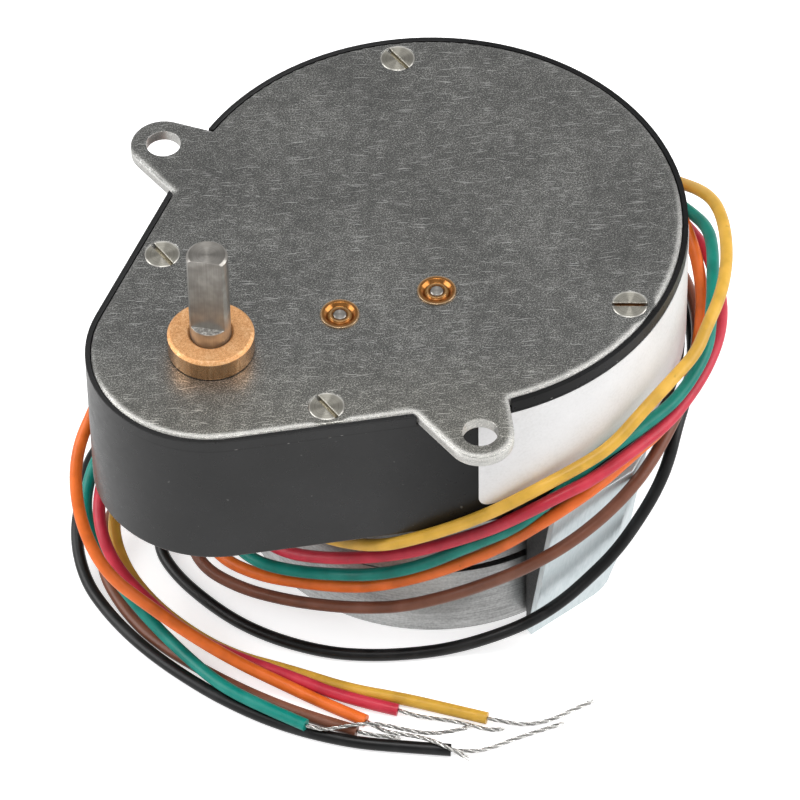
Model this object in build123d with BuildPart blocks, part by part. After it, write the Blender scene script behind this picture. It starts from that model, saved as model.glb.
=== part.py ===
from build123d import *
import os
from math import acos, asin, atan2, cos, degrees, hypot, pi, radians, sin, sqrt, tan

os.makedirs("parts", exist_ok=True)

# All sizes are in mm. The output shaft stands at the origin on the top face of the plate,
# the motor axis lies along +X from it, and Z points up along the shaft.

# Gearbox outline and walls
axis_span = 40.7
big_end_r = 38.25
small_end_r = 18.4
housing_height = 25.4
wall_t = 2.0
floor_t = 2.4
rim_t = 0.75
rim_drop = 0.1
foot_round = 0.5
boss_r = 3.1

# Motor pad under the housing floor
pad_step = 2.0
pad_wall = 4.4
pad_height = 4.8

# Top plate and its fixing lugs
plate_t = 1.8
plate_gap = 0.15
plate_edge = 0.3
lug_reach = 4.6
lug_r = 4.9
lug_hole_r = 2.6
lug_left = 9.0
lug_right = 5.2
lug_root = 1.6
notch_gap = 0.35

# Plate screws, countersunk and slotted
screw_r = 1.5
screw_head_r = 2.6
screw_head_land = 0.2
screw_length = 8.0
screw_play = 0.06
slot_w = 0.65
slot_d = 0.7
screw_inset = 4.25
inner_screw_share = 0.588
outer_screw_angles = (59.2, -69.7)
slot_angles = (87, 87, 87, -40)

# Output shaft, its bearings and its ring
shaft_r = 3.0
shaft_top = 19.8
shaft_end_gap = 0.6
shaft_chamfer = 0.35
flat_offset = 1.7
flat_bottom = 6.0
flat_angle = -139
run_play = 0.03
bush_r = 6.35
bush_top = 3.56
bush_chamfer = 0.45
bush_neck_r = 5.0
bush_neck_share = 0.175
bush_mouth = 0.35
bush_relief = 0.5
bush_relief_height = 0.15
lower_bush_r = 5.0
lower_bush_height = 4.0
seat_play = 0.02
ring_r = 4.8
ring_t = 0.8
ring_gap = 0.2
washer_r = 5.4
washer_t = 0.5

# Idler bearings and arbors
eyelet_r = 2.85
eyelet_proud = 0.2
eyelet_rim = 0.55
eyelet_dish = 0.45
eyelet_mouth_r = 1.8
eyelet_collar_r = 1.5
eyelet_collar_rise = 0.3
eyelet_depth = 3.4
lower_eyelet_height = 3.0
arbor_r = 1.0
arbor_proud = 0.1
arbor_end_gap = 0.5
arbor_chamfer = 0.15

# Gear train, counted from the motor to the output
pressure_angle = 25
pinion_teeth = (12, 14, 12)
wheel_teeth = (36, 35, 40)
fine_module = 0.6
wheel_side_gap = 0.65
mesh_play = 0.1
fine_play = 0.15
coarse_play = 0.2
tooth_thin = 0.08
addendum_share = 1.0
dedendum_share = 1.25
root_share = 0.5
idler_2_swing_share = 0.575
grip_play = 0.01
motor_pinion_share = 0.73
wheel_1_shares = (0.93, 0.765)
pinion_1_share = 0.505
wheel_2_shares = (0.73, 0.55)
pinion_2_share = 0.245
output_shares = (0.495, 0.29)
hub_share = 0.54
hub_r = 5.6
web_share = 0.8
web_depth = 1.1

# Motor: flange, cups, poles, coils and rotor
flange_t = 1.6
motor_r = 30.0
front_cup_length = 13.6
rear_cup_length = 13.6
cup_t = 1.2
cup_round_share = 0.6
window_rise = 1.6
window_low_share = 0.12
window_span = 52
window_middle = -124
window_count = 4
window_from_share = 0.7
pole_count = 12
pole_circle_share = 0.4533
pole_lip = 0.15
pole_t = 1.2
pole_w = 2.5
pole_gap = 1.2
pole_plate_step = 1.8
pole_plate_t = 1.0
stack_turn = 7.5
bobbin_gap = 0.1
bobbin_core_t = 0.9
bobbin_side_gap = 0.5
bobbin_flange_t = 0.8
winding_step = 2.3
air_gap = 0.4
rotor_bore_r = 9.0
rotor_gap = 1.5
hub_recess = 0.6
rotor_shaft_r = 1.5
rotor_end_gap = 0.6
bearing_r = 4.0
bearing_collar_r = 5.4
bearing_collar_t = 1.3
bearing_length = 2.6
pinion_hole_r = 6.6
end_plate_gap = 0.1
end_plate_t = 1.4
motor_screw_r = 1.5
motor_screw_head_r = 2.7
motor_screw_head_h = 1.5
motor_screw_slot_w = 0.7
motor_screw_angles = (30, 150)

# Sheet clip on the side of the motor and the block behind it
clip_w = 15.0
clip_shift = 0.2
clip_t = 1.0
clip_stand = 3.2
clip_lean = 9.8
clip_top_gap = 2.2
clip_corner = 3.0
wing_w = 5.0
wing_turn = 25
wing_rise = 5.0
tab_inset = 2.0
tab_gap = 0.35
tab_drop = 0.32
block_inset = 1.5
block_drop = 1.7
block_gap = 0.2
block_foot = 0.2

# Lead outlet, leads and their bare ends
outlet_angle = 112
outlet_gap = 0.15
outlet_reach = 6.3
outlet_w = 8.0
outlet_drop = 8.7
outlet_height = 9.0
outlet_round = 0.8
lead_r = 0.95
strand_r = 0.3
bend_share = 0.45

# Label on the big end
label_t = 0.1
label_gap = 0.02
label_top = 2.4
label_foot = 4.2
label_margin = 0.8
label_end = -12
label_corner = 1.6

# Levels that follow from the sizes above
plate_under = -plate_t
housing_under = -housing_height
floor_top = housing_under + floor_t
pad_under = housing_under - pad_height
flange_under = pad_under - flange_t
seam_z = flange_under - front_cup_length
motor_under = seam_z - rear_cup_length
label_bottom = housing_height - label_foot
outlet_top = outlet_drop - flange_under
block_top = block_drop - flange_under
clip_height = housing_under - clip_top_gap - motor_under

# Radii and places that follow from the motor can
pad_r = motor_r - pad_step
bobbin_flange_r = motor_r - cup_t - bobbin_side_gap
winding_r = bobbin_flange_r - winding_step
pole_plate_r = bobbin_flange_r - pole_plate_step
pole_inner_r = pole_circle_share * motor_r
rotor_r = pole_inner_r - air_gap
clip_foot_y = motor_r + clip_stand
clip_x = axis_span - clip_shift
tab_w = clip_w - 2 * tab_inset
block_w = clip_w - 2 * block_inset

# Depths of the gear layers, as shares of the room between the plate and the floor
gear_room = plate_under - floor_top
bush_neck_depth = plate_t + bush_neck_share * gear_room
motor_pinion_low = plate_t + gear_room
motor_pinion_high = plate_t + motor_pinion_share * gear_room
wheel_1_low = plate_t + wheel_1_shares[0] * gear_room
wheel_1_high = plate_t + wheel_1_shares[1] * gear_room
pinion_1_high = plate_t + pinion_1_share * gear_room
wheel_2_low = plate_t + wheel_2_shares[0] * gear_room
wheel_2_high = plate_t + wheel_2_shares[1] * gear_room
pinion_2_high = plate_t + pinion_2_share * gear_room
output_low = plate_t + output_shares[0] * gear_room
output_high = plate_t + output_shares[1] * gear_room
hub_low = plate_t + hub_share * gear_room

# Gear centres that follow from the outline, the tooth counts and the span of the axes
output_tip_r = small_end_r - wall_t - wheel_side_gap
coarse_module = output_tip_r / (wheel_teeth[2] / 2 + addendum_share)
span_1 = fine_module * (pinion_teeth[0] + wheel_teeth[0]) / 2 + mesh_play
span_2 = fine_module * (pinion_teeth[1] + wheel_teeth[1]) / 2 + fine_play
span_3 = coarse_module * (pinion_teeth[2] + wheel_teeth[2]) / 2 + coarse_play
idler_2_turn = -idler_2_swing_share * acos(axis_span / (span_1 + span_2 + span_3))
idler_2 = (span_3 * cos(idler_2_turn), span_3 * sin(idler_2_turn))
motor_axis = (axis_span, 0)
across = hypot(motor_axis[0] - idler_2[0], motor_axis[1] - idler_2[1])
bearing_of_motor = atan2(motor_axis[1] - idler_2[1], motor_axis[0] - idler_2[0])
swing = acos((span_2**2 + across**2 - span_1**2) / (2 * span_2 * across))
idler_1 = (
    idler_2[0] + span_2 * cos(bearing_of_motor - swing),
    idler_2[1] + span_2 * sin(bearing_of_motor - swing),
)

# Places round the outline: where its flanks begin, the label's start and the screws
tangent_angle = 90 + degrees(asin((big_end_r - small_end_r) / axis_span))
tangent_c = cos(radians(tangent_angle))
tangent_s = sin(radians(tangent_angle))
label_start = label_margin - tangent_angle
outer_screw_r = big_end_r - screw_inset
inner_screw_back = inner_screw_share * sqrt(axis_span**2 - (big_end_r - small_end_r) ** 2)
inner_screw_x = axis_span + outer_screw_r * tangent_c - inner_screw_back * tangent_s
inner_screw_y = outer_screw_r * tangent_s + inner_screw_back * tangent_c
screw_points = (
    (
        axis_span + outer_screw_r * cos(radians(outer_screw_angles[0])),
        outer_screw_r * sin(radians(outer_screw_angles[0])),
    ),
    (inner_screw_x, inner_screw_y),
    (inner_screw_x, -inner_screw_y),
    (
        axis_span + outer_screw_r * cos(radians(outer_screw_angles[1])),
        outer_screw_r * sin(radians(outer_screw_angles[1])),
    ),
)
motor_screw_ring_r = pad_r - pad_wall / 2
motor_screw_points = [
    (axis_span + motor_screw_ring_r * cos(radians(a)), motor_screw_ring_r * sin(radians(a)))
    for a in motor_screw_angles
]

# Routes of the six leads, from the outlet round the motor to the stripped end
leads = {
    "yellow": [
        (24.8, 28.1, -42.5), (20.7, 26.5, -42.5), (15.4, 21.2, -41.0), (11.1, 15.7, -39.6),
        (7.9, 8.8, -38.2), (6.2, 1.2, -37.0), (6.5, -7.3, -36.0), (8.0, -16.0, -34.0),
        (9.6, -25.9, -28.0), (14.4, -30.2, -25.5), (19.9, -33.4, -23.6), (24.0, -36.0, -21.5),
        (28.3, -38.6, -19.0), (36.6, -40.5, -16.9), (41.9, -41.1, -15.8), (48.6, -40.5, -13.1),
        (54.7, -39.1, -11.8), (60.7, -37.6, -11.4), (64.8, -35.1, -10.7), (70.1, -32.0, -10.4),
        (74.9, -27.9, -10.5), (78.6, -23.6, -10.7), (81.5, -19.3, -11.2), (83.5, -15.1, -12.2),
        (84.7, -10.6, -14.3), (85.2, -5.5, -17.2), (85.5, 0.8, -20.6), (85.0, 7.8, -24.0),
        (82.7, 16.1, -27.2), (77.6, 24.9, -30.5), (70.0, 32.5, -33.5), (60.9, 38.0, -36.0),
        (50.9, 41.0, -38.0), (40.7, 41.8, -39.5), (30.7, 40.1, -40.7), (22.8, 36.7, -41.8),
        (14.0, 30.0, -42.8), (5.5, 25.2, -43.8), (-2.5, 20.0, -44.6), (-8.4, 16.0, -45.2),
        (-11.0, 11.7, -46.8), (-11.3, 7.3, -50.5), (-8.5, 2.3, -56.0), (-4.6, -6.8, -58.05),
        (0.2, -16.4, -58.05), (4.9, -24.0, -58.05), (9.9, -31.3, -58.05), (13.5, -37.0, -58.05),
        (17.0, -42.2, -58.05),
    ],
    "red": [
        (23.9, 30.3, -42.5), (19.8, 28.7, -42.5), (13.7, 22.6, -43.1), (9.4, 16.6, -43.6),
        (6.5, 9.2, -44.2), (5.5, 1.2, -44.7), (6.4, -6.0, -44.6), (9.2, -13.4, -41.6),
        (13.6, -20.4, -38.2), (17.5, -24.9, -35.7), (21.4, -29.1, -32.5), (24.5, -34.4, -27.5),
        (27.8, -39.0, -22.4), (32.7, -40.5, -20.9), (37.6, -41.4, -20.5), (45.5, -41.2, -19.9),
        (53.3, -40.2, -20.2), (60.2, -37.4, -20.0), (65.0, -35.4, -19.3), (69.9, -32.4, -18.6),
        (74.2, -28.1, -18.5), (77.9, -22.3, -19.1), (81.0, -16.4, -20.1), (83.0, -9.0, -21.5),
        (83.7, -0.8, -22.9), (82.7, 7.4, -24.2), (80.1, 15.1, -25.6), (75.4, 23.4, -27.0),
        (68.3, 30.7, -28.5), (59.9, 36.2, -30.0), (50.6, 39.8, -31.5), (40.7, 41.0, -33.0),
        (30.8, 39.8, -34.5), (22.9, 36.5, -36.0), (14.0, 30.2, -37.5), (5.5, 25.6, -39.0),
        (-3.1, 22.8, -40.3), (-8.7, 18.7, -41.4), (-12.2, 14.3, -43.4), (-13.4, 9.0, -46.8),
        (-11.9, 3.0, -50.6), (-9.6, -3.7, -53.6), (-5.9, -9.4, -56.2), (-1.4, -17.6, -57.0),
        (3.1, -25.1, -57.6), (7.7, -32.5, -58.05),
    ],
    "green": [
        (24.8, 28.1, -45.0), (20.7, 26.5, -45.0), (15.0, 21.5, -45.3), (9.8, 16.4, -45.8),
        (5.3, 9.5, -46.3), (3.2, 2.5, -46.5), (3.2, -3.4, -46.6), (5.7, -8.3, -46.2),
        (9.6, -13.4, -45.5), (13.5, -20.5, -42.2), (18.3, -25.8, -38.7), (22.9, -30.8, -33.4),
        (26.6, -36.6, -27.8), (30.9, -38.6, -23.6), (35.2, -39.0, -21.2), (39.3, -39.4, -18.9),
        (44.3, -39.8, -18.4), (50.8, -39.4, -18.3), (55.7, -38.7, -18.1), (60.7, -37.1, -17.0),
        (65.6, -34.7, -16.0), (68.9, -31.4, -15.2), (72.1, -28.1, -14.9), (75.0, -24.8, -14.8),
        (78.4, -20.9, -15.1), (81.6, -16.2, -16.1), (82.9, -10.7, -17.9), (83.3, -3.7, -19.6),
        (82.7, 2.9, -20.8), (81.0, 10.0, -21.8), (77.6, 18.0, -22.8), (71.8, 26.1, -24.1),
        (64.4, 32.7, -25.3), (55.8, 37.4, -26.5), (46.3, 39.9, -27.8), (36.5, 40.1, -29.2),
        (27.6, 38.0, -30.6), (20.4, 35.2, -32.0), (11.5, 28.9, -34.0), (4.0, 25.4, -36.0),
        (-3.3, 23.6, -38.1), (-8.8, 21.3, -40.6), (-12.2, 18.0, -44.6), (-12.8, 12.9, -49.8),
        (-12.3, 7.6, -53.0), (-11.8, 1.5, -55.2), (-11.4, -4.6, -56.1), (-10.9, -13.2, -56.1),
        (-8.3, -21.0, -56.1), (-5.7, -27.3, -56.1),
    ],
    "orange": [
        (23.9, 30.3, -45.0), (19.8, 28.7, -45.0), (13.0, 23.3, -46.5), (7.3, 17.7, -47.9),
        (2.7, 10.2, -49.2), (1.4, 2.7, -50.0), (3.5, -3.9, -49.7), (6.9, -9.7, -48.7),
        (10.6, -15.3, -47.4), (13.7, -20.2, -45.1), (18.6, -25.4, -41.7), (22.9, -29.9, -37.6),
        (26.0, -34.2, -33.0), (29.1, -38.8, -27.2), (34.5, -40.4, -24.6), (40.1, -40.4, -23.9),
        (46.9, -39.4, -23.5), (54.0, -37.7, -23.7), (61.0, -34.9, -23.7), (66.2, -31.1, -23.2),
        (70.5, -27.3, -22.2), (74.2, -23.5, -21.3), (77.0, -19.7, -20.2), (79.2, -15.5, -18.7),
        (80.9, -10.4, -16.8), (81.5, -4.3, -14.9), (81.2, 2.1, -13.6), (80.0, 9.1, -12.9),
        (77.0, 16.9, -12.6), (71.8, 25.2, -12.6), (64.8, 31.9, -12.7), (56.3, 36.8, -12.9),
        (47.0, 39.5, -13.2), (37.2, 39.8, -13.7), (28.3, 38.0, -14.5), (21.3, 35.1, -15.6),
        (13.5, 30.9, -16.8), (5.5, 26.4, -18.2), (-2.0, 22.3, -19.9), (-8.6, 18.3, -22.3),
        (-13.6, 16.3, -25.8), (-16.8, 13.2, -30.4), (-18.6, 8.8, -35.4), (-18.3, 3.8, -41.0),
        (-14.9, -1.1, -47.6), (-11.1, -6.8, -51.5), (-7.0, -12.3, -54.7), (-3.0, -18.8, -56.8),
        (0.1, -25.1, -58.0), (2.7, -31.1, -58.05),
    ],
    "brown": [
        (24.8, 28.1, -47.5), (20.7, 26.5, -47.5), (14.1, 22.3, -49.4), (7.7, 17.6, -51.3),
        (2.4, 11.7, -53.2), (0.2, 5.8, -54.1), (2.3, -1.3, -54.3), (5.6, -7.8, -53.5),
        (9.0, -13.3, -52.4), (12.3, -18.4, -50.8), (16.2, -23.6, -48.6), (21.4, -28.7, -45.2),
        (25.2, -33.6, -40.4), (28.6, -38.1, -35.4), (34.7, -39.9, -33.4), (41.3, -40.4, -31.8),
        (47.3, -39.7, -29.9), (52.1, -38.6, -28.7), (56.2, -36.5, -27.3), (61.5, -33.8, -26.5),
        (67.3, -29.7, -26.2), (73.0, -24.4, -26.0), (77.2, -17.8, -26.0), (80.1, -9.8, -26.3),
        (81.1, -1.4, -27.1), (80.2, 7.0, -28.5), (77.5, 14.9, -30.4), (72.8, 22.5, -32.9),
        (66.1, 29.2, -35.8), (58.1, 34.2, -38.7), (49.3, 37.4, -41.4), (40.0, 38.4, -43.8),
        (30.8, 37.1, -46.0), (23.1, 34.6, -48.0), (15.0, 31.8, -50.0), (7.0, 28.2, -52.0),
        (-1.0, 24.6, -53.9), (-7.0, 21.4, -55.4), (-10.6, 16.5, -57.0), (-11.9, 10.6, -57.9),
        (-12.4, 4.8, -58.05), (-11.9, -0.7, -58.05), (-10.1, -5.6, -58.05), (-7.7, -10.9, -58.05),
        (-5.4, -16.7, -58.05), (-2.7, -24.2, -58.05), (0.4, -31.8, -58.05),
    ],
    "black": [
        (23.9, 30.3, -47.5), (19.8, 28.7, -47.5), (14.5, 25.9, -49.9), (8.8, 22.5, -53.0),
        (4.2, 18.8, -55.8), (0.6, 14.5, -57.7), (-1.0, 9.5, -58.05), (-0.6, 4.0, -58.05),
        (1.1, -2.2, -58.05), (3.7, -8.7, -58.05), (7.3, -15.8, -58.05), (11.6, -21.5, -58.05),
        (16.8, -25.7, -58.05), (21.5, -28.4, -57.9), (25.7, -31.9, -55.6), (29.8, -36.2, -51.5),
        (35.1, -37.6, -49.9), (40.3, -38.1, -48.7), (46.2, -38.6, -45.7), (50.9, -38.3, -41.4),
        (54.5, -37.8, -37.4), (57.2, -36.4, -33.6), (60.1, -34.3, -30.8), (64.1, -31.5, -29.8),
        (69.1, -27.5, -29.5), (74.2, -21.7, -29.4), (78.4, -14.5, -29.5), (80.5, -5.6, -30.0),
        (80.3, 3.5, -31.3), (78.0, 12.1, -33.4), (73.8, 19.9, -36.1), (68.0, 26.4, -39.0),
        (60.7, 32.0, -42.0), (52.3, 35.8, -44.8), (43.3, 37.7, -47.2), (34.0, 37.7, -49.3),
        (26.0, 36.3, -51.0), (18.5, 35.2, -52.0), (10.5, 33.4, -52.4), (2.5, 31.0, -52.6),
        (-4.3, 27.6, -53.6), (-9.6, 23.5, -55.9), (-12.8, 17.1, -57.8), (-14.2, 10.2, -58.05),
        (-14.5, 2.8, -58.05), (-13.5, -5.1, -58.05), (-11.3, -14.5, -58.05), (-7.5, -24.0, -58.05),
        (-1.7, -32.8, -58.05), (4.0, -38.6, -58.05), (9.0, -43.5, -58.05),
    ],
}

# The bare conductor that follows on from each lead's end
strands = {
    "yellow": [
        (17.0, -42.2, -58.05), (18.6, -44.4, -58.1), (20.9, -46.6, -58.5), (24.3, -48.2, -58.6),
        (28.2, -48.7, -58.6), (32.2, -49.4, -58.6),
    ],
    "red": [
        (7.7, -32.5, -58.05), (8.8, -34.7, -58.1), (10.8, -36.6, -58.5), (12.9, -38.9, -58.6),
        (14.7, -41.5, -58.6), (16.1, -44.0, -58.6), (18.2, -45.2, -58.6),
    ],
    "green": [
        (-5.7, -27.3, -56.1), (-4.6, -29.3, -56.3), (-2.0, -30.6, -56.4), (0.9, -31.9, -56.6),
        (3.4, -33.6, -56.9), (5.8, -36.0, -57.8), (8.0, -38.8, -57.9), (10.7, -41.2, -57.4),
        (14.2, -42.5, -57.4),
    ],
    "orange": [
        (2.7, -31.1, -58.05), (3.3, -33.7, -58.3), (5.2, -36.3, -58.2), (6.5, -39.1, -57.2),
        (7.6, -42.1, -56.5), (8.6, -44.9, -56.6), (9.8, -47.1, -57.6),
    ],
    "brown": [
        (0.4, -31.8, -58.05), (1.6, -33.4, -58.3), (3.5, -35.1, -58.6), (4.9, -36.7, -58.6),
    ],
    "black": [
        (9.0, -43.5, -58.05), (11.0, -45.6, -58.1), (13.9, -46.7, -58.5), (17.5, -47.4, -58.6),
        (21.6, -48.6, -58.6), (25.7, -49.9, -58.6),
    ],
}


def pear(inset, z):
    """The housing outline drawn in by inset, as a face at height z."""
    big = big_end_r - inset
    small = small_end_r - inset
    c = tangent_c
    s = tangent_s
    with BuildSketch(Plane.XY.offset(z)) as outline:
        with BuildLine():
            Line((axis_span + big * c, big * s), (small * c, small * s))
            ThreePointArc((small * c, small * s), (-small, 0), (small * c, -small * s))
            Line((small * c, -small * s), (axis_span + big * c, -big * s))
            ThreePointArc(
                (axis_span + big * c, -big * s), (axis_span + big, 0), (axis_span + big * c, big * s)
            )
        make_face()
    return outline.sketch


def touch(point, centre, radius, side):
    """Where the straight line from point touches the circle, on the given side."""
    dx = point[0] - centre[0]
    dy = point[1] - centre[1]
    turn = atan2(dy, dx) + side * acos(radius / hypot(dx, dy))
    return (centre[0] + radius * cos(turn), centre[1] + radius * sin(turn))


def lug(side, grow, z):
    """One fixing lug, grown outwards by grow, as a face at height z."""
    c = tangent_c
    s = tangent_s

    def world(along, out):
        x = axis_span + (big_end_r + out) * c + along * s
        y = (big_end_r + out) * s - along * c
        return (x, side * y)

    eye = (0, lug_reach)
    radius = lug_r + grow
    left = (-lug_left - grow, -lug_root)
    right = (lug_right + grow, -lug_root)
    left_touch = touch(left, eye, radius, -1)
    right_touch = touch(right, eye, radius, 1)
    with BuildSketch(Plane.XY.offset(z)) as shape:
        with BuildLine():
            Line(world(*left), world(*left_touch))
            ThreePointArc(world(*left_touch), world(0, lug_reach + radius), world(*right_touch))
            Line(world(*right_touch), world(*right))
            Line(world(*right), world(*left))
        make_face()
    return shape.sketch


def spin(profile, centre):
    """A turned solid: the profile of (radius, height) points spun about the upright axis."""
    x, y = centre
    with BuildPart() as turned:
        with BuildSketch(Plane(origin=(x, y, 0), x_dir=(1, 0, 0), z_dir=(0, -1, 0))):
            with BuildLine():
                Polyline(*profile, close=True)
            make_face()
        revolve(axis=Axis((x, y, 0), (0, 0, 1)))
    return turned.part


def gear_face(teeth, module, phase, centre, z):
    """Outline of a spur gear with one tooth centred on the angle phase, in radians."""
    alpha = radians(pressure_angle)
    pitch = module * teeth / 2
    base = pitch * cos(alpha)
    tip = pitch + addendum_share * module
    root = pitch - dedendum_share * module
    half = pi / (2 * teeth) - tooth_thin / (2 * pitch)
    start = max(base, root)
    levels = [start + (tip - start) * k / 3 for k in range(4)]
    flank = []
    for level in levels:
        at = acos(min(1, base / level))
        flank.append((level, half + tan(alpha) - alpha - (tan(at) - at)))
    foot = pi / teeth - (pi / teeth - flank[0][1]) * root_share
    rise = [(root, foot)] + flank
    points = []
    for tooth in range(teeth):
        middle = phase + 2 * pi * tooth / teeth
        for radius, angle in rise:
            points.append((radius, middle - angle))
        for radius, angle in reversed(rise):
            points.append((radius, middle + angle))
    with BuildSketch(Plane.XY.offset(z)) as outline:
        with BuildLine():
            Polyline(
                *[(centre[0] + r * cos(a), centre[1] + r * sin(a)) for r, a in points], close=True
            )
        make_face()
    return outline.sketch


def mated(phase, teeth, centre, other_teeth, other_centre):
    """Phase of the other gear whose tooth gap meets this gear's tooth on the line of centres."""
    line = atan2(other_centre[1] - centre[1], other_centre[0] - centre[0])
    return line + pi + (2 * pi / other_teeth) * (0.5 - teeth * (phase - line) / (2 * pi))


def bends(points):
    """Bend radius at each inner point of a route, a share of the shorter run beside it."""
    radii = []
    for before, here, after in zip(points, points[1:], points[2:]):
        a = Vector(*here) - Vector(*before)
        b = Vector(*after) - Vector(*here)
        turn = radians(a.get_angle(b))
        radii.append(bend_share * min(a.length, b.length) / tan(turn / 2))
    return radii


def tube(name, points, radius):
    """A round cord along a route of straight runs joined by tangent arcs."""
    radii = bends(points)
    with BuildPart() as cord:
        with BuildLine() as path:
            FilletPolyline(*points, radius=radii)
        with BuildSketch(Plane(origin=path.line @ 0, z_dir=path.line % 0)):
            Circle(radius)
        sweep()
    length = sum(edge.length for edge in path.line.edges())
    full = pi * radius**2 * length
    print(name, "least bend", round(min(radii), 2), "length", round(length, 1))
    print(name, "volume share of section times length", round(cord.part.volume / full, 4))
    return cord.part


def teeth_on(teeth, module, phase, centre, low, high):
    """Toothed disc between two depths below the plate's top face."""
    with BuildPart() as disc:
        extrude(gear_face(teeth, module, phase, centre, -low), amount=low - high)
    return disc.part


def bored(centre, radius, low, high):
    """Round rod to cut a bore with, between two depths."""
    return spin([(0, -low), (radius, -low), (radius, -high), (0, -high)], centre)


# Phases that make each tooth meet a gap at rest
output_phase = 0
pinion_3_phase = mated(output_phase, wheel_teeth[2], (0, 0), pinion_teeth[2], idler_2)
wheel_2_phase = 0
pinion_2_phase = mated(wheel_2_phase, wheel_teeth[1], idler_2, pinion_teeth[1], idler_1)
wheel_1_phase = 0
motor_pinion_phase = mated(wheel_1_phase, wheel_teeth[0], idler_1, pinion_teeth[0], motor_axis)

# Gear housing
with BuildPart() as gear_housing:
    extrude(pear(0, housing_under), amount=housing_height - rim_drop)
    fillet(gear_housing.faces().sort_by(Axis.Z)[0].outer_wire().edges(), foot_round)
    extrude(pear(wall_t, floor_top), amount=plate_under - floor_top, mode=Mode.SUBTRACT)
    extrude(pear(rim_t, plate_under), amount=plate_t, mode=Mode.SUBTRACT)
    with BuildSketch(Plane.XY.offset(floor_top)):
        with Locations(*screw_points):
            Circle(boss_r)
    extrude(amount=plate_under - floor_top)
    with BuildSketch(Plane.XY.offset(plate_under)):
        with Locations(*screw_points):
            Circle(screw_r + screw_play)
    extrude(amount=-screw_length, mode=Mode.SUBTRACT)
    for side in (1, -1):
        extrude(lug(side, notch_gap, plate_under), amount=plate_t, mode=Mode.SUBTRACT)
    with BuildSketch(Plane.XY.offset(housing_under)):
        with Locations(motor_axis):
            Circle(pad_r)
            Circle(pad_r - pad_wall, mode=Mode.SUBTRACT)
    extrude(amount=-pad_height)
    with BuildSketch(Plane.XY.offset(floor_top)):
        with Locations(motor_axis):
            Circle(pinion_hole_r)
        Circle(lower_bush_r + seat_play)
        with Locations(idler_1, idler_2):
            Circle(eyelet_r + seat_play)
    extrude(amount=-floor_t, mode=Mode.SUBTRACT)
    with BuildSketch(Plane.XY.offset(floor_top)):
        with Locations(*motor_screw_points):
            Circle(motor_screw_r + screw_play)
    extrude(amount=-floor_t - pad_height, mode=Mode.SUBTRACT)
gear_housing.part.label = "gear_housing"
export_step(gear_housing.part, "parts/gear_housing.step")

# Top plate
with BuildPart() as top_plate:
    extrude(pear(rim_t + plate_gap, plate_under), amount=plate_t)
    for side in (1, -1):
        extrude(lug(side, 0, plate_under), amount=plate_t)
    fillet(top_plate.faces().sort_by(Axis.Z)[-1].outer_wire().edges(), plate_edge)
    with BuildSketch(Plane.XY):
        for side in (1, -1):
            with Locations(
                (
                    axis_span + (big_end_r + lug_reach) * tangent_c,
                    side * (big_end_r + lug_reach) * tangent_s,
                )
            ):
                Circle(lug_hole_r)
        Circle(bush_neck_r + seat_play)
        with Locations(idler_1, idler_2):
            Circle(eyelet_r + seat_play)
        with Locations(*screw_points):
            Circle(screw_r + screw_play)
    extrude(amount=-plate_t, mode=Mode.SUBTRACT)
    for point in screw_points:
        sunk_r = screw_head_r + screw_play
        add(
            spin(
                [
                    (0, 0),
                    (sunk_r, 0),
                    (sunk_r, -screw_head_land),
                    (screw_r + screw_play, -screw_head_land - screw_head_r + screw_r),
                    (0, -screw_head_land - screw_head_r + screw_r),
                ],
                point,
            ),
            mode=Mode.SUBTRACT,
        )
top_plate.part.label = "top_plate"
export_step(top_plate.part, "parts/top_plate.step")

# Four countersunk screws
with BuildPart() as plate_screws:
    for point in screw_points:
        add(
            spin(
                [
                    (0, 0),
                    (screw_head_r, 0),
                    (screw_head_r, -screw_head_land),
                    (screw_r, -screw_head_land - screw_head_r + screw_r),
                    (screw_r, -screw_length),
                    (0, -screw_length),
                ],
                point,
            )
        )
    for point, angle in zip(screw_points, slot_angles):
        with Locations(Location((point[0], point[1], 0), (0, 0, angle))):
            Box(
                3 * screw_head_r,
                slot_w,
                slot_d,
                align=(Align.CENTER, Align.CENTER, Align.MAX),
                mode=Mode.SUBTRACT,
            )
plate_screws.part.label = "plate_screws"
export_step(plate_screws.part, "parts/plate_screws.step")

# Output bearing bushes
with BuildPart() as output_bush:
    bore = shaft_r + run_play
    add(
        spin(
            [
                (bore, -bush_neck_depth),
                (bush_neck_r, -bush_neck_depth),
                (bush_neck_r, 0),
                (bush_r - bush_relief, 0),
                (bush_r - bush_relief, bush_relief_height),
                (bush_r, bush_relief_height),
                (bush_r, bush_top - bush_chamfer),
                (bush_r - bush_chamfer, bush_top),
                (bore + bush_mouth, bush_top),
                (bore, bush_top - bush_mouth),
            ],
            (0, 0),
        )
    )
output_bush.part.label = "output_bush"
export_step(output_bush.part, "parts/output_bush.step")

with BuildPart() as output_lower_bush:
    bore = shaft_r + run_play
    add(
        spin(
            [
                (bore, housing_under),
                (lower_bush_r, housing_under),
                (lower_bush_r, housing_under + lower_bush_height),
                (bore, housing_under + lower_bush_height),
            ],
            (0, 0),
        )
    )
output_lower_bush.part.label = "output_lower_bush"
export_step(output_lower_bush.part, "parts/output_lower_bush.step")

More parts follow.
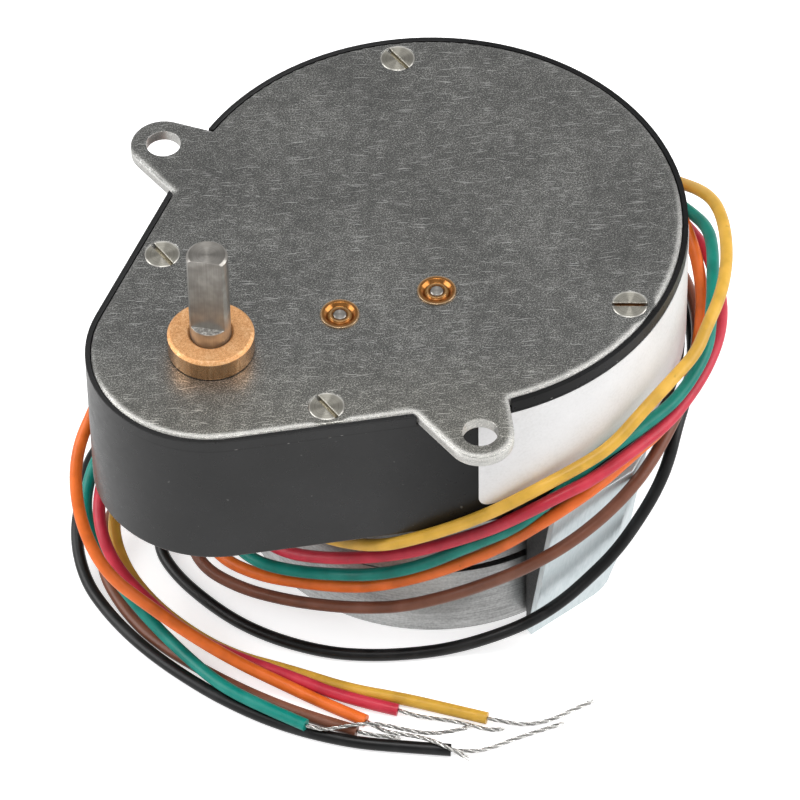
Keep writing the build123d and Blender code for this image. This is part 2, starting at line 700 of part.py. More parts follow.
# Idler bearings, one pair in the plate and one pair in the floor
with BuildPart() as idler_upper_bushes:
    for point in (idler_1, idler_2):
        bore = arbor_r + run_play
        add(
            spin(
                [
                    (bore, -eyelet_depth),
                    (eyelet_r, -eyelet_depth),
                    (eyelet_r, eyelet_proud),
                    (eyelet_r - eyelet_rim, eyelet_proud),
                    (eyelet_mouth_r, eyelet_proud - eyelet_dish),
                    (eyelet_collar_r, eyelet_proud - eyelet_dish),
                    (eyelet_collar_r, eyelet_proud - eyelet_dish + eyelet_collar_rise),
                    (bore, eyelet_proud - eyelet_dish + eyelet_collar_rise),
                ],
                point,
            )
        )
idler_upper_bushes.part.label = "idler_upper_bushes"
export_step(idler_upper_bushes.part, "parts/idler_upper_bushes.step")

with BuildPart() as idler_lower_bushes:
    for point in (idler_1, idler_2):
        bore = arbor_r + run_play
        add(
            spin(
                [
                    (bore, housing_under),
                    (eyelet_r, housing_under),
                    (eyelet_r, housing_under + lower_eyelet_height),
                    (bore, housing_under + lower_eyelet_height),
                ],
                point,
            )
        )
idler_lower_bushes.part.label = "idler_lower_bushes"
export_step(idler_lower_bushes.part, "parts/idler_lower_bushes.step")

# Output shaft with its flat
with BuildPart() as output_shaft:
    low = housing_under + shaft_end_gap
    add(
        spin(
            [
                (0, low),
                (shaft_r - shaft_chamfer, low),
                (shaft_r, low + shaft_chamfer),
                (shaft_r, shaft_top - shaft_chamfer),
                (shaft_r - shaft_chamfer, shaft_top),
                (0, shaft_top),
            ],
            (0, 0),
        )
    )
    flat_at = radians(flat_angle)
    with Locations(
        Location((flat_offset * cos(flat_at), flat_offset * sin(flat_at), flat_bottom), (0, 0, flat_angle))
    ):
        Box(
            2 * shaft_r,
            3 * shaft_r,
            shaft_top,
            align=(Align.MIN, Align.CENTER, Align.MIN),
            mode=Mode.SUBTRACT,
        )
output_shaft.part.label = "output_shaft"
export_step(output_shaft.part, "parts/output_shaft.step")

# Output wheel with a hub and a thinned web
with BuildPart() as output_gear:
    output_root = coarse_module * (wheel_teeth[2] / 2 - dedendum_share)
    add(teeth_on(wheel_teeth[2], coarse_module, output_phase, (0, 0), output_low, output_high))
    add(bored((0, 0), hub_r, hub_low, output_high))
    add(
        spin(
            [
                (hub_r + (output_root - hub_r) * (1 - web_share), -output_low),
                (hub_r + (output_root - hub_r) * web_share, -output_low),
                (hub_r + (output_root - hub_r) * web_share, -output_low + web_depth),
                (hub_r + (output_root - hub_r) * (1 - web_share), -output_low + web_depth),
            ],
            (0, 0),
        ),
        mode=Mode.SUBTRACT,
    )
    add(bored((0, 0), shaft_r + grip_play, hub_low, output_high), mode=Mode.SUBTRACT)
output_gear.part.label = "output_gear"
export_step(output_gear.part, "parts/output_gear.step")

# Washer and retaining ring that hold the output shaft up against the bush
with BuildPart() as output_washer:
    high = bush_neck_depth + ring_gap
    add(bored((0, 0), washer_r, high + washer_t, high))
    add(bored((0, 0), shaft_r + grip_play, high + washer_t, high), mode=Mode.SUBTRACT)
output_washer.part.label = "output_washer"
export_step(output_washer.part, "parts/output_washer.step")

with BuildPart() as output_ring:
    high = bush_neck_depth + ring_gap + washer_t
    add(bored((0, 0), ring_r, high + ring_t, high))
    add(bored((0, 0), shaft_r + grip_play, high + ring_t, high), mode=Mode.SUBTRACT)
    with Locations((0, 0, -high)):
        Box(
            2 * ring_r,
            shaft_r,
            3 * ring_t,
            align=(Align.MIN, Align.CENTER, Align.CENTER),
            mode=Mode.SUBTRACT,
        )
output_ring.part.label = "output_ring"
export_step(output_ring.part, "parts/output_ring.step")

# Idler arbors
with BuildPart() as idler_1_arbor:
    low = housing_under + arbor_end_gap
    add(
        spin(
            [
                (0, low),
                (arbor_r, low),
                (arbor_r, arbor_proud - arbor_chamfer),
                (arbor_r - arbor_chamfer, arbor_proud),
                (0, arbor_proud),
            ],
            idler_1,
        )
    )
idler_1_arbor.part.label = "idler_1_arbor"
export_step(idler_1_arbor.part, "parts/idler_1_arbor.step")

with BuildPart() as idler_2_arbor:
    low = housing_under + arbor_end_gap
    add(
        spin(
            [
                (0, low),
                (arbor_r, low),
                (arbor_r, arbor_proud - arbor_chamfer),
                (arbor_r - arbor_chamfer, arbor_proud),
                (0, arbor_proud),
            ],
            idler_2,
        )
    )
idler_2_arbor.part.label = "idler_2_arbor"
export_step(idler_2_arbor.part, "parts/idler_2_arbor.step")

# Idler wheels and pinions
with BuildPart() as idler_1_wheel:
    add(teeth_on(wheel_teeth[0], fine_module, wheel_1_phase, idler_1, wheel_1_low, wheel_1_high))
    add(bored(idler_1, arbor_r + grip_play, wheel_1_low, wheel_1_high), mode=Mode.SUBTRACT)
idler_1_wheel.part.label = "idler_1_wheel"
export_step(idler_1_wheel.part, "parts/idler_1_wheel.step")

with BuildPart() as idler_1_pinion:
    add(teeth_on(pinion_teeth[1], fine_module, pinion_2_phase, idler_1, wheel_1_high, pinion_1_high))
    add(bored(idler_1, arbor_r + grip_play, wheel_1_high, pinion_1_high), mode=Mode.SUBTRACT)
idler_1_pinion.part.label = "idler_1_pinion"
export_step(idler_1_pinion.part, "parts/idler_1_pinion.step")

with BuildPart() as idler_2_wheel:
    add(teeth_on(wheel_teeth[1], fine_module, wheel_2_phase, idler_2, wheel_2_low, wheel_2_high))
    add(bored(idler_2, arbor_r + grip_play, wheel_2_low, wheel_2_high), mode=Mode.SUBTRACT)
idler_2_wheel.part.label = "idler_2_wheel"
export_step(idler_2_wheel.part, "parts/idler_2_wheel.step")

with BuildPart() as idler_2_pinion:
    add(teeth_on(pinion_teeth[2], coarse_module, pinion_3_phase, idler_2, wheel_2_high, pinion_2_high))
    add(bored(idler_2, arbor_r + grip_play, wheel_2_high, pinion_2_high), mode=Mode.SUBTRACT)
idler_2_pinion.part.label = "idler_2_pinion"
export_step(idler_2_pinion.part, "parts/idler_2_pinion.step")

# Motor flange with its screws
with BuildPart() as motor_flange:
    with BuildSketch(Plane.XY.offset(pad_under)):
        with Locations(motor_axis):
            Circle(motor_r)
            Circle(bearing_r + seat_play, mode=Mode.SUBTRACT)
        with Locations(*motor_screw_points):
            Circle(motor_screw_r + screw_play, mode=Mode.SUBTRACT)
    extrude(amount=-flange_t)
motor_flange.part.label = "motor_flange"
export_step(motor_flange.part, "parts/motor_flange.step")

with BuildPart() as motor_screws:
    for point, angle in zip(motor_screw_points, motor_screw_angles):
        add(
            spin(
                [
                    (0, flange_under),
                    (motor_screw_r, flange_under),
                    (motor_screw_r, floor_top),
                    (motor_screw_head_r, floor_top),
                    (motor_screw_head_r, floor_top + motor_screw_head_h),
                    (0, floor_top + motor_screw_head_h),
                ],
                point,
            )
        )
        with Locations(Location((point[0], point[1], floor_top + motor_screw_head_h), (0, 0, angle))):
            Box(
                3 * motor_screw_head_r,
                motor_screw_slot_w,
                motor_screw_head_h,
                align=(Align.CENTER, Align.CENTER, Align.CENTER),
                mode=Mode.SUBTRACT,
            )
motor_screws.part.label = "motor_screws"
export_step(motor_screws.part, "parts/motor_screws.step")

# Stator cups with their pole fingers, the front one with tapered slots along the seam
finger_mid_r = pole_inner_r + pole_t / 2
finger_length = flange_under - cup_t - seam_z - pole_plate_t - pole_gap
rear_finger_length = seam_z - pole_plate_t - pole_gap - motor_under - cup_t
window_from_r = window_from_share * motor_r
window_reach = motor_r * sin(radians(window_span / 2))

with BuildPart() as front_stator_cup:
    with BuildSketch(Plane.XY.offset(flange_under)):
        with Locations(motor_axis):
            Circle(motor_r)
    extrude(amount=seam_z - flange_under)
    with BuildSketch(Plane.XY.offset(flange_under - cup_t)):
        with Locations(motor_axis):
            Circle(motor_r - cup_t)
    extrude(amount=seam_z - flange_under + cup_t, mode=Mode.SUBTRACT)
    with BuildSketch(Plane.XY.offset(flange_under)):
        with Locations(motor_axis):
            Circle(pole_inner_r - pole_lip)
    extrude(amount=-cup_t, mode=Mode.SUBTRACT)
    with BuildSketch(Plane.XY.offset(flange_under - cup_t)):
        with Locations(motor_axis):
            with PolarLocations(finger_mid_r, pole_count):
                Rectangle(pole_t, pole_w)
    extrude(amount=-finger_length)
    for k in range(window_count):
        turn = radians(window_middle + 360 / window_count * k)
        side = Plane(
            origin=(axis_span + window_from_r * cos(turn), window_from_r * sin(turn), seam_z),
            x_dir=(-sin(turn), cos(turn), 0),
            z_dir=(cos(turn), sin(turn), 0),
        )
        with BuildSketch(side):
            with BuildLine():
                Polyline(
                    (-window_reach, 0),
                    (window_reach, 0),
                    (window_reach, window_rise),
                    (-window_reach, window_rise * window_low_share),
                    close=True,
                )
            make_face()
        extrude(amount=motor_r, mode=Mode.SUBTRACT)
front_stator_cup.part.label = "front_stator_cup"
export_step(front_stator_cup.part, "parts/front_stator_cup.step")

with BuildPart() as rear_stator_cup:
    with BuildSketch(Plane.XY.offset(motor_under)):
        with Locations(motor_axis):
            Circle(motor_r)
    extrude(amount=seam_z - motor_under)
    fillet(rear_stator_cup.faces().sort_by(Axis.Z)[0].outer_wire().edges(), cup_t * cup_round_share)
    with BuildSketch(Plane.XY.offset(motor_under + cup_t)):
        with Locations(motor_axis):
            Circle(motor_r - cup_t)
    extrude(amount=seam_z - motor_under - cup_t, mode=Mode.SUBTRACT)
    with BuildSketch(Plane.XY.offset(motor_under)):
        with Locations(motor_axis):
            Circle(pole_inner_r - pole_lip)
    extrude(amount=cup_t, mode=Mode.SUBTRACT)
    with BuildSketch(Plane.XY.offset(motor_under + cup_t)):
        with Locations(motor_axis):
            with PolarLocations(finger_mid_r, pole_count, start_angle=stack_turn):
                Rectangle(pole_t, pole_w)
    extrude(amount=rear_finger_length)
rear_stator_cup.part.label = "rear_stator_cup"
export_step(rear_stator_cup.part, "parts/rear_stator_cup.step")

# Pole plates back to back at the seam
with BuildPart() as front_pole_plate:
    with BuildSketch(Plane.XY.offset(seam_z)):
        with Locations(motor_axis):
            Circle(pole_plate_r)
            Circle(pole_inner_r - pole_lip, mode=Mode.SUBTRACT)
    extrude(amount=pole_plate_t)
    with BuildSketch(Plane.XY.offset(seam_z + pole_plate_t)):
        with Locations(motor_axis):
            with PolarLocations(finger_mid_r, pole_count, start_angle=180 / pole_count):
                Rectangle(pole_t, pole_w)
    extrude(amount=finger_length)
front_pole_plate.part.label = "front_pole_plate"
export_step(front_pole_plate.part, "parts/front_pole_plate.step")

with BuildPart() as rear_pole_plate:
    with BuildSketch(Plane.XY.offset(seam_z)):
        with Locations(motor_axis):
            Circle(pole_plate_r)
            Circle(pole_inner_r - pole_lip, mode=Mode.SUBTRACT)
    extrude(amount=-pole_plate_t)
    with BuildSketch(Plane.XY.offset(seam_z - pole_plate_t)):
        with Locations(motor_axis):
            with PolarLocations(finger_mid_r, pole_count, start_angle=180 / pole_count + stack_turn):
                Rectangle(pole_t, pole_w)
    extrude(amount=-rear_finger_length)
rear_pole_plate.part.label = "rear_pole_plate"
export_step(rear_pole_plate.part, "parts/rear_pole_plate.step")

# Bobbins and windings
core_in = sqrt((pole_inner_r + pole_t) ** 2 + (pole_w / 2) ** 2) + bobbin_gap
core_out = core_in + bobbin_core_t
front_low = seam_z + pole_plate_t + bobbin_gap
front_high = flange_under - cup_t - bobbin_gap
rear_low = motor_under + cup_t + bobbin_gap
rear_high = seam_z - pole_plate_t - bobbin_gap

with BuildPart() as front_bobbin:
    add(
        spin(
            [
                (core_in, front_low),
                (bobbin_flange_r, front_low),
                (bobbin_flange_r, front_low + bobbin_flange_t),
                (core_out, front_low + bobbin_flange_t),
                (core_out, front_high - bobbin_flange_t),
                (bobbin_flange_r, front_high - bobbin_flange_t),
                (bobbin_flange_r, front_high),
                (core_in, front_high),
            ],
            motor_axis,
        )
    )
front_bobbin.part.label = "front_bobbin"
export_step(front_bobbin.part, "parts/front_bobbin.step")

with BuildPart() as rear_bobbin:
    add(
        spin(
            [
                (core_in, rear_low),
                (bobbin_flange_r, rear_low),
                (bobbin_flange_r, rear_low + bobbin_flange_t),
                (core_out, rear_low + bobbin_flange_t),
                (core_out, rear_high - bobbin_flange_t),
                (bobbin_flange_r, rear_high - bobbin_flange_t),
                (bobbin_flange_r, rear_high),
                (core_in, rear_high),
            ],
            motor_axis,
        )
    )
rear_bobbin.part.label = "rear_bobbin"
export_step(rear_bobbin.part, "parts/rear_bobbin.step")

with BuildPart() as front_winding:
    low = front_low + bobbin_flange_t + bobbin_gap
    high = front_high - bobbin_flange_t - bobbin_gap
    inner = core_out + bobbin_gap
    add(spin([(inner, low), (winding_r, low), (winding_r, high), (inner, high)], motor_axis))
front_winding.part.label = "front_winding"
export_step(front_winding.part, "parts/front_winding.step")

with BuildPart() as rear_winding:
    low = rear_low + bobbin_flange_t + bobbin_gap
    high = rear_high - bobbin_flange_t - bobbin_gap
    inner = core_out + bobbin_gap
    add(spin([(inner, low), (winding_r, low), (winding_r, high), (inner, high)], motor_axis))
rear_winding.part.label = "rear_winding"
export_step(rear_winding.part, "parts/rear_winding.step")

# Rear end plate and the two motor bearings
with BuildPart() as rear_end_plate:
    with BuildSketch(Plane.XY.offset(motor_under)):
        with Locations(motor_axis):
            Circle(pole_inner_r - pole_lip - end_plate_gap)
            Circle(bearing_r + seat_play, mode=Mode.SUBTRACT)
    extrude(amount=end_plate_t)
rear_end_plate.part.label = "rear_end_plate"
export_step(rear_end_plate.part, "parts/rear_end_plate.step")

with BuildPart() as front_motor_bearing:
    bore = rotor_shaft_r + run_play
    add(
        spin(
            [
                (bore, pad_under - bearing_length),
                (bearing_r, pad_under - bearing_length),
                (bearing_r, pad_under),
                (bearing_collar_r, pad_under),
                (bearing_collar_r, pad_under + bearing_collar_t),
                (bore, pad_under + bearing_collar_t),
            ],
            motor_axis,
        )
    )
front_motor_bearing.part.label = "front_motor_bearing"
export_step(front_motor_bearing.part, "parts/front_motor_bearing.step")

with BuildPart() as rear_motor_bearing:
    bore = rotor_shaft_r + run_play
    add(
        spin(
            [
                (bore, motor_under),
                (bearing_r, motor_under),
                (bearing_r, motor_under + end_plate_t),
                (bearing_collar_r, motor_under + end_plate_t),
                (bearing_collar_r, motor_under + end_plate_t + bearing_collar_t),
                (bore, motor_under + end_plate_t + bearing_collar_t),
            ],
            motor_axis,
        )
    )
rear_motor_bearing.part.label = "rear_motor_bearing"
export_step(rear_motor_bearing.part, "parts/rear_motor_bearing.step")

# Rotor: shaft, hub, ring magnet and motor pinion
rotor_low = motor_under + end_plate_t + bearing_collar_t + hub_recess / 2
rotor_high = flange_under - cup_t - rotor_gap

with BuildPart() as rotor_shaft:
    low = motor_under + rotor_end_gap
    add(bored(motor_axis, rotor_shaft_r, -low, motor_pinion_high))
rotor_shaft.part.label = "rotor_shaft"
export_step(rotor_shaft.part, "parts/rotor_shaft.step")

with BuildPart() as rotor_hub:
    low = rotor_low + hub_recess
    high = rotor_high - hub_recess
    inner = rotor_shaft_r + grip_play
    add(spin([(inner, low), (rotor_bore_r, low), (rotor_bore_r, high), (inner, high)], motor_axis))
rotor_hub.part.label = "rotor_hub"
export_step(rotor_hub.part, "parts/rotor_hub.step")

with BuildPart() as rotor_magnet:
    inner = rotor_bore_r + grip_play
    add(
        spin(
            [(inner, rotor_low), (rotor_r, rotor_low), (rotor_r, rotor_high), (inner, rotor_high)],
            motor_axis,
        )
    )
rotor_magnet.part.label = "rotor_magnet"
export_step(rotor_magnet.part, "parts/rotor_magnet.step")

with BuildPart() as motor_pinion:
    add(
        teeth_on(
            pinion_teeth[0],
            fine_module,
            motor_pinion_phase,
            motor_axis,
            motor_pinion_low,
            motor_pinion_high,
        )
    )
    add(
        bored(motor_axis, rotor_shaft_r + grip_play, motor_pinion_low, motor_pinion_high),
        mode=Mode.SUBTRACT,
    )
motor_pinion.part.label = "motor_pinion"
export_step(motor_pinion.part, "parts/motor_pinion.step")

# Leaning sheet clip with its folded wing and top tab
lean_c = cos(radians(clip_lean))
lean_s = sin(radians(clip_lean))
turn_c = cos(radians(wing_turn))
turn_s = sin(radians(wing_turn))
clip_length = clip_height / lean_c
clip_right = clip_x + clip_w / 2

with BuildPart() as side_clip:
    face = Plane(
        origin=(clip_x, -clip_foot_y, motor_under), x_dir=(1, 0, 0), z_dir=(0, -lean_c, -lean_s)
    )
    with BuildSketch(face):
        with BuildLine():
            Line((-clip_w / 2, clip_length), (-clip_w / 2, 0))
            Line((-clip_w / 2, 0), (clip_w / 2 - clip_corner, 0))
            RadiusArc((clip_w / 2 - clip_corner, 0), (clip_w / 2, clip_corner), -clip_corner)
            Line((clip_w / 2, clip_corner), (clip_w / 2, clip_length))
            Line((clip_w / 2, clip_length), (-clip_w / 2, clip_length))
        make_face()
    extrude(amount=-clip_t)
    fold = Plane(
        origin=(clip_right, -clip_foot_y, motor_under),
        x_dir=(turn_c, turn_s * lean_c, turn_s * lean_s),
        z_dir=(turn_s, -turn_c * lean_c, -turn_c * lean_s),
    )
    with BuildSketch(fold):
        with BuildLine():
            Polyline(
                (0, clip_corner),
                (wing_w, clip_corner + wing_rise),
                (wing_w, clip_length),
                (0, clip_length),
                close=True,
            )
        make_face()
    extrude(amount=-clip_t)
    tab_front = clip_foot_y + clip_height * lean_s / lean_c
    with BuildSketch(Plane.XY.offset(pad_under - tab_drop)):
        with Locations((clip_x, -motor_r - tab_gap)):
            Rectangle(
                tab_w, tab_front - motor_r - tab_gap - clip_t, align=(Align.CENTER, Align.MAX)
            )
    extrude(amount=-clip_t)
side_clip.part.label = "side_clip"
export_step(side_clip.part, "parts/side_clip.step")

# Black block that fills the space between the motor can and the clip
with BuildPart() as clip_block:
    lean_t = lean_s / lean_c
    inner_y = -motor_r - block_gap
    back_y = -clip_foot_y + clip_t / lean_c + block_gap
    low_z = motor_under + block_foot
    with BuildSketch(Plane(origin=(clip_x - block_w / 2, 0, 0), x_dir=(0, 1, 0), z_dir=(1, 0, 0))):
        with BuildLine():
            Polyline(
                (inner_y, low_z),
                (back_y, low_z),
                (back_y - (-block_top - low_z) * lean_t, -block_top),
                (inner_y, -block_top),
                close=True,
            )
        make_face()
    extrude(amount=block_w)
clip_block.part.label = "clip_block"
export_step(clip_block.part, "parts/clip_block.step")

# Moulded outlet for the leads
with BuildPart() as lead_outlet:
    outlet_at = radians(outlet_angle)
    middle = motor_r + outlet_gap + outlet_reach / 2
    with BuildSketch(Plane.XY.offset(-outlet_top - outlet_height)):
        with Locations(
            Location((axis_span + middle * cos(outlet_at), middle * sin(outlet_at)), outlet_angle)
        ):
            Rectangle(outlet_reach, outlet_w)
    extrude(amount=outlet_height)
    fillet(lead_outlet.edges().filter_by(Axis.Z).sort_by_distance((axis_span, 0, seam_z))[2:], outlet_round)
lead_outlet.part.label = "lead_outlet"
export_step(lead_outlet.part, "parts/lead_outlet.step")

# Label round the big end
with BuildPart() as label:
    inner = big_end_r + label_gap
    outer = inner + label_t
    first = radians(label_start)
    last = radians(label_end)
    half = (first + last) / 2
    with BuildSketch(Plane.XY.offset(-label_bottom)):
        with BuildLine():
            ThreePointArc(
                (axis_span + inner * cos(first), inner * sin(first)),
                (axis_span + inner * cos(half), inner * sin(half)),
                (axis_span + inner * cos(last), inner * sin(last)),
            )
            Line(
                (axis_span + inner * cos(last), inner * sin(last)),
                (axis_span + outer * cos(last), outer * sin(last)),
            )
            ThreePointArc(
                (axis_span + outer * cos(last), outer * sin(last)),
                (axis_span + outer * cos(half), outer * sin(half)),
                (axis_span + outer * cos(first), outer * sin(first)),
            )
            Line(
                (axis_span + outer * cos(first), outer * sin(first)),
                (axis_span + inner * cos(first), inner * sin(first)),
            )
        make_face()
    extrude(amount=label_bottom - label_top)
    corners = [edge for edge in label.edges() if edge.length < 2 * label_t]
    fillet(corners, label_corner)
label.part.label = "label"
export_step(label.part, "parts/label.step")

# The six leads
with BuildPart() as lead_yellow:
    add(tube("yellow", leads["yellow"], lead_r))
lead_yellow.part.label = "lead_yellow"
export_step(lead_yellow.part, "parts/lead_yellow.step")

with BuildPart() as lead_red:
    add(tube("red", leads["red"], lead_r))
lead_red.part.label = "lead_red"
export_step(lead_red.part, "parts/lead_red.step")

with BuildPart() as lead_green:
    add(tube("green", leads["green"], lead_r))
lead_green.part.label = "lead_green"
export_step(lead_green.part, "parts/lead_green.step")

with BuildPart() as lead_orange:
    add(tube("orange", leads["orange"], lead_r))
lead_orange.part.label = "lead_orange"
export_step(lead_orange.part, "parts/lead_orange.step")

with BuildPart() as lead_brown:
    add(tube("brown", leads["brown"], lead_r))
lead_brown.part.label = "lead_brown"
export_step(lead_brown.part, "parts/lead_brown.step")

with BuildPart() as lead_black:
    add(tube("black", leads["black"], lead_r))
lead_black.part.label = "lead_black"
export_step(lead_black.part, "parts/lead_black.step")

# Their bare twisted ends
with BuildPart() as strand_yellow:
    add(tube("yellow end", strands["yellow"], strand_r))
strand_yellow.part.label = "strand_yellow"
export_step(strand_yellow.part, "parts/strand_yellow.step")

with BuildPart() as strand_red:
    add(tube("red end", strands["red"], strand_r))
strand_red.part.label = "strand_red"
export_step(strand_red.part, "parts/strand_red.step")

with BuildPart() as strand_green:
    add(tube("green end", strands["green"], strand_r))
strand_green.part.label = "strand_green"
export_step(strand_green.part, "parts/strand_green.step")

with BuildPart() as strand_orange:
    add(tube("orange end", strands["orange"], strand_r))
strand_orange.part.label = "strand_orange"
export_step(strand_orange.part, "parts/strand_orange.step")

with BuildPart() as strand_brown:
    add(tube("brown end", strands["brown"], strand_r))
strand_brown.part.label = "strand_brown"
export_step(strand_brown.part, "parts/strand_brown.step")

with BuildPart() as strand_black:
    add(tube("black end", strands["black"], strand_r))
strand_black.part.label = "strand_black"
export_step(strand_black.part, "parts/strand_black.step")
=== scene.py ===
import math

import bpy
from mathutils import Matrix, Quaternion, Vector


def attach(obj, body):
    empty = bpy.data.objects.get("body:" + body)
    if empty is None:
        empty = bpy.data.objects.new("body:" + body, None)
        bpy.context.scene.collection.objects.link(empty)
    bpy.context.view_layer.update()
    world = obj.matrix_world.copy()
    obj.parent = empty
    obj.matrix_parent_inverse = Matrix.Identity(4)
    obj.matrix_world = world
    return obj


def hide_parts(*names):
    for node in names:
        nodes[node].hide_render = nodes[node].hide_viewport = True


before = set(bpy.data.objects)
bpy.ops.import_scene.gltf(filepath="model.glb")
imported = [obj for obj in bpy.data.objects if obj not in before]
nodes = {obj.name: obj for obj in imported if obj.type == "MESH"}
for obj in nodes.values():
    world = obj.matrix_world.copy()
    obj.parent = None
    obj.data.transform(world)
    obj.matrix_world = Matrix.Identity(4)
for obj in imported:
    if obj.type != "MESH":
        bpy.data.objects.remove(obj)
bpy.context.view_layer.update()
scene = bpy.context.scene
scene.view_settings.view_transform = "Standard"
for spare in ("Cube", "Light", "Camera"):
    if spare in bpy.data.objects:
        bpy.data.objects.remove(bpy.data.objects[spare])

# Places and sizes taken over from the part, in metres
SHAFT = (0.0, 0.0, 0.0)
MOTOR = (0.0407, 0.0, 0.0)
IDLERS = ((0.03243, -0.01191, 0.0), (0.01857, -0.00658, 0.0))
SCREWS = (
    (0.0581, 0.0292, 0.0), (0.00588, 0.01949, 0.0),
    (0.00588, -0.01949, 0.0), (0.0525, -0.0319, 0.0),
)
LUGS = ((0.0198, 0.03741, 0.0), (0.0198, -0.03741, 0.0))
FLOOR = -0.059
BUSH_R = 0.00635
CAN_R = 0.03
LEAD_R = 0.00095

# How far a screw head, eyelet or pin counts as near its own axis
HEAD_REACH = 0.006

# The way that most scratches run
SCRATCH_TURN = math.radians(-39.5)

# The way to the front, and two slopes per metre: to the small end and to the label
FRONT = (-0.35, -0.94, 0)
TO_SMALL_END = (-6.3, -7.7, 0)
TO_LABEL = (15.58, -12.54, 0)

# Twist of the bare ends: sizes in metres, and each wire's painted light and shade in turn
STRAND_WIRES = 4
STRAND_LAY_R = 0.00017
STRAND_WIRE_R = 0.00014
STRAND_PITCH = 0.0038
STRAND_STEP = 0.00018
STRAND_FLARE = 0.00004
STRAND_FLARE_STEPS = 14
STRAND_SIDES = 8
STRAND_SHADES = (1.0, 0.25, 0.8, 0.15)

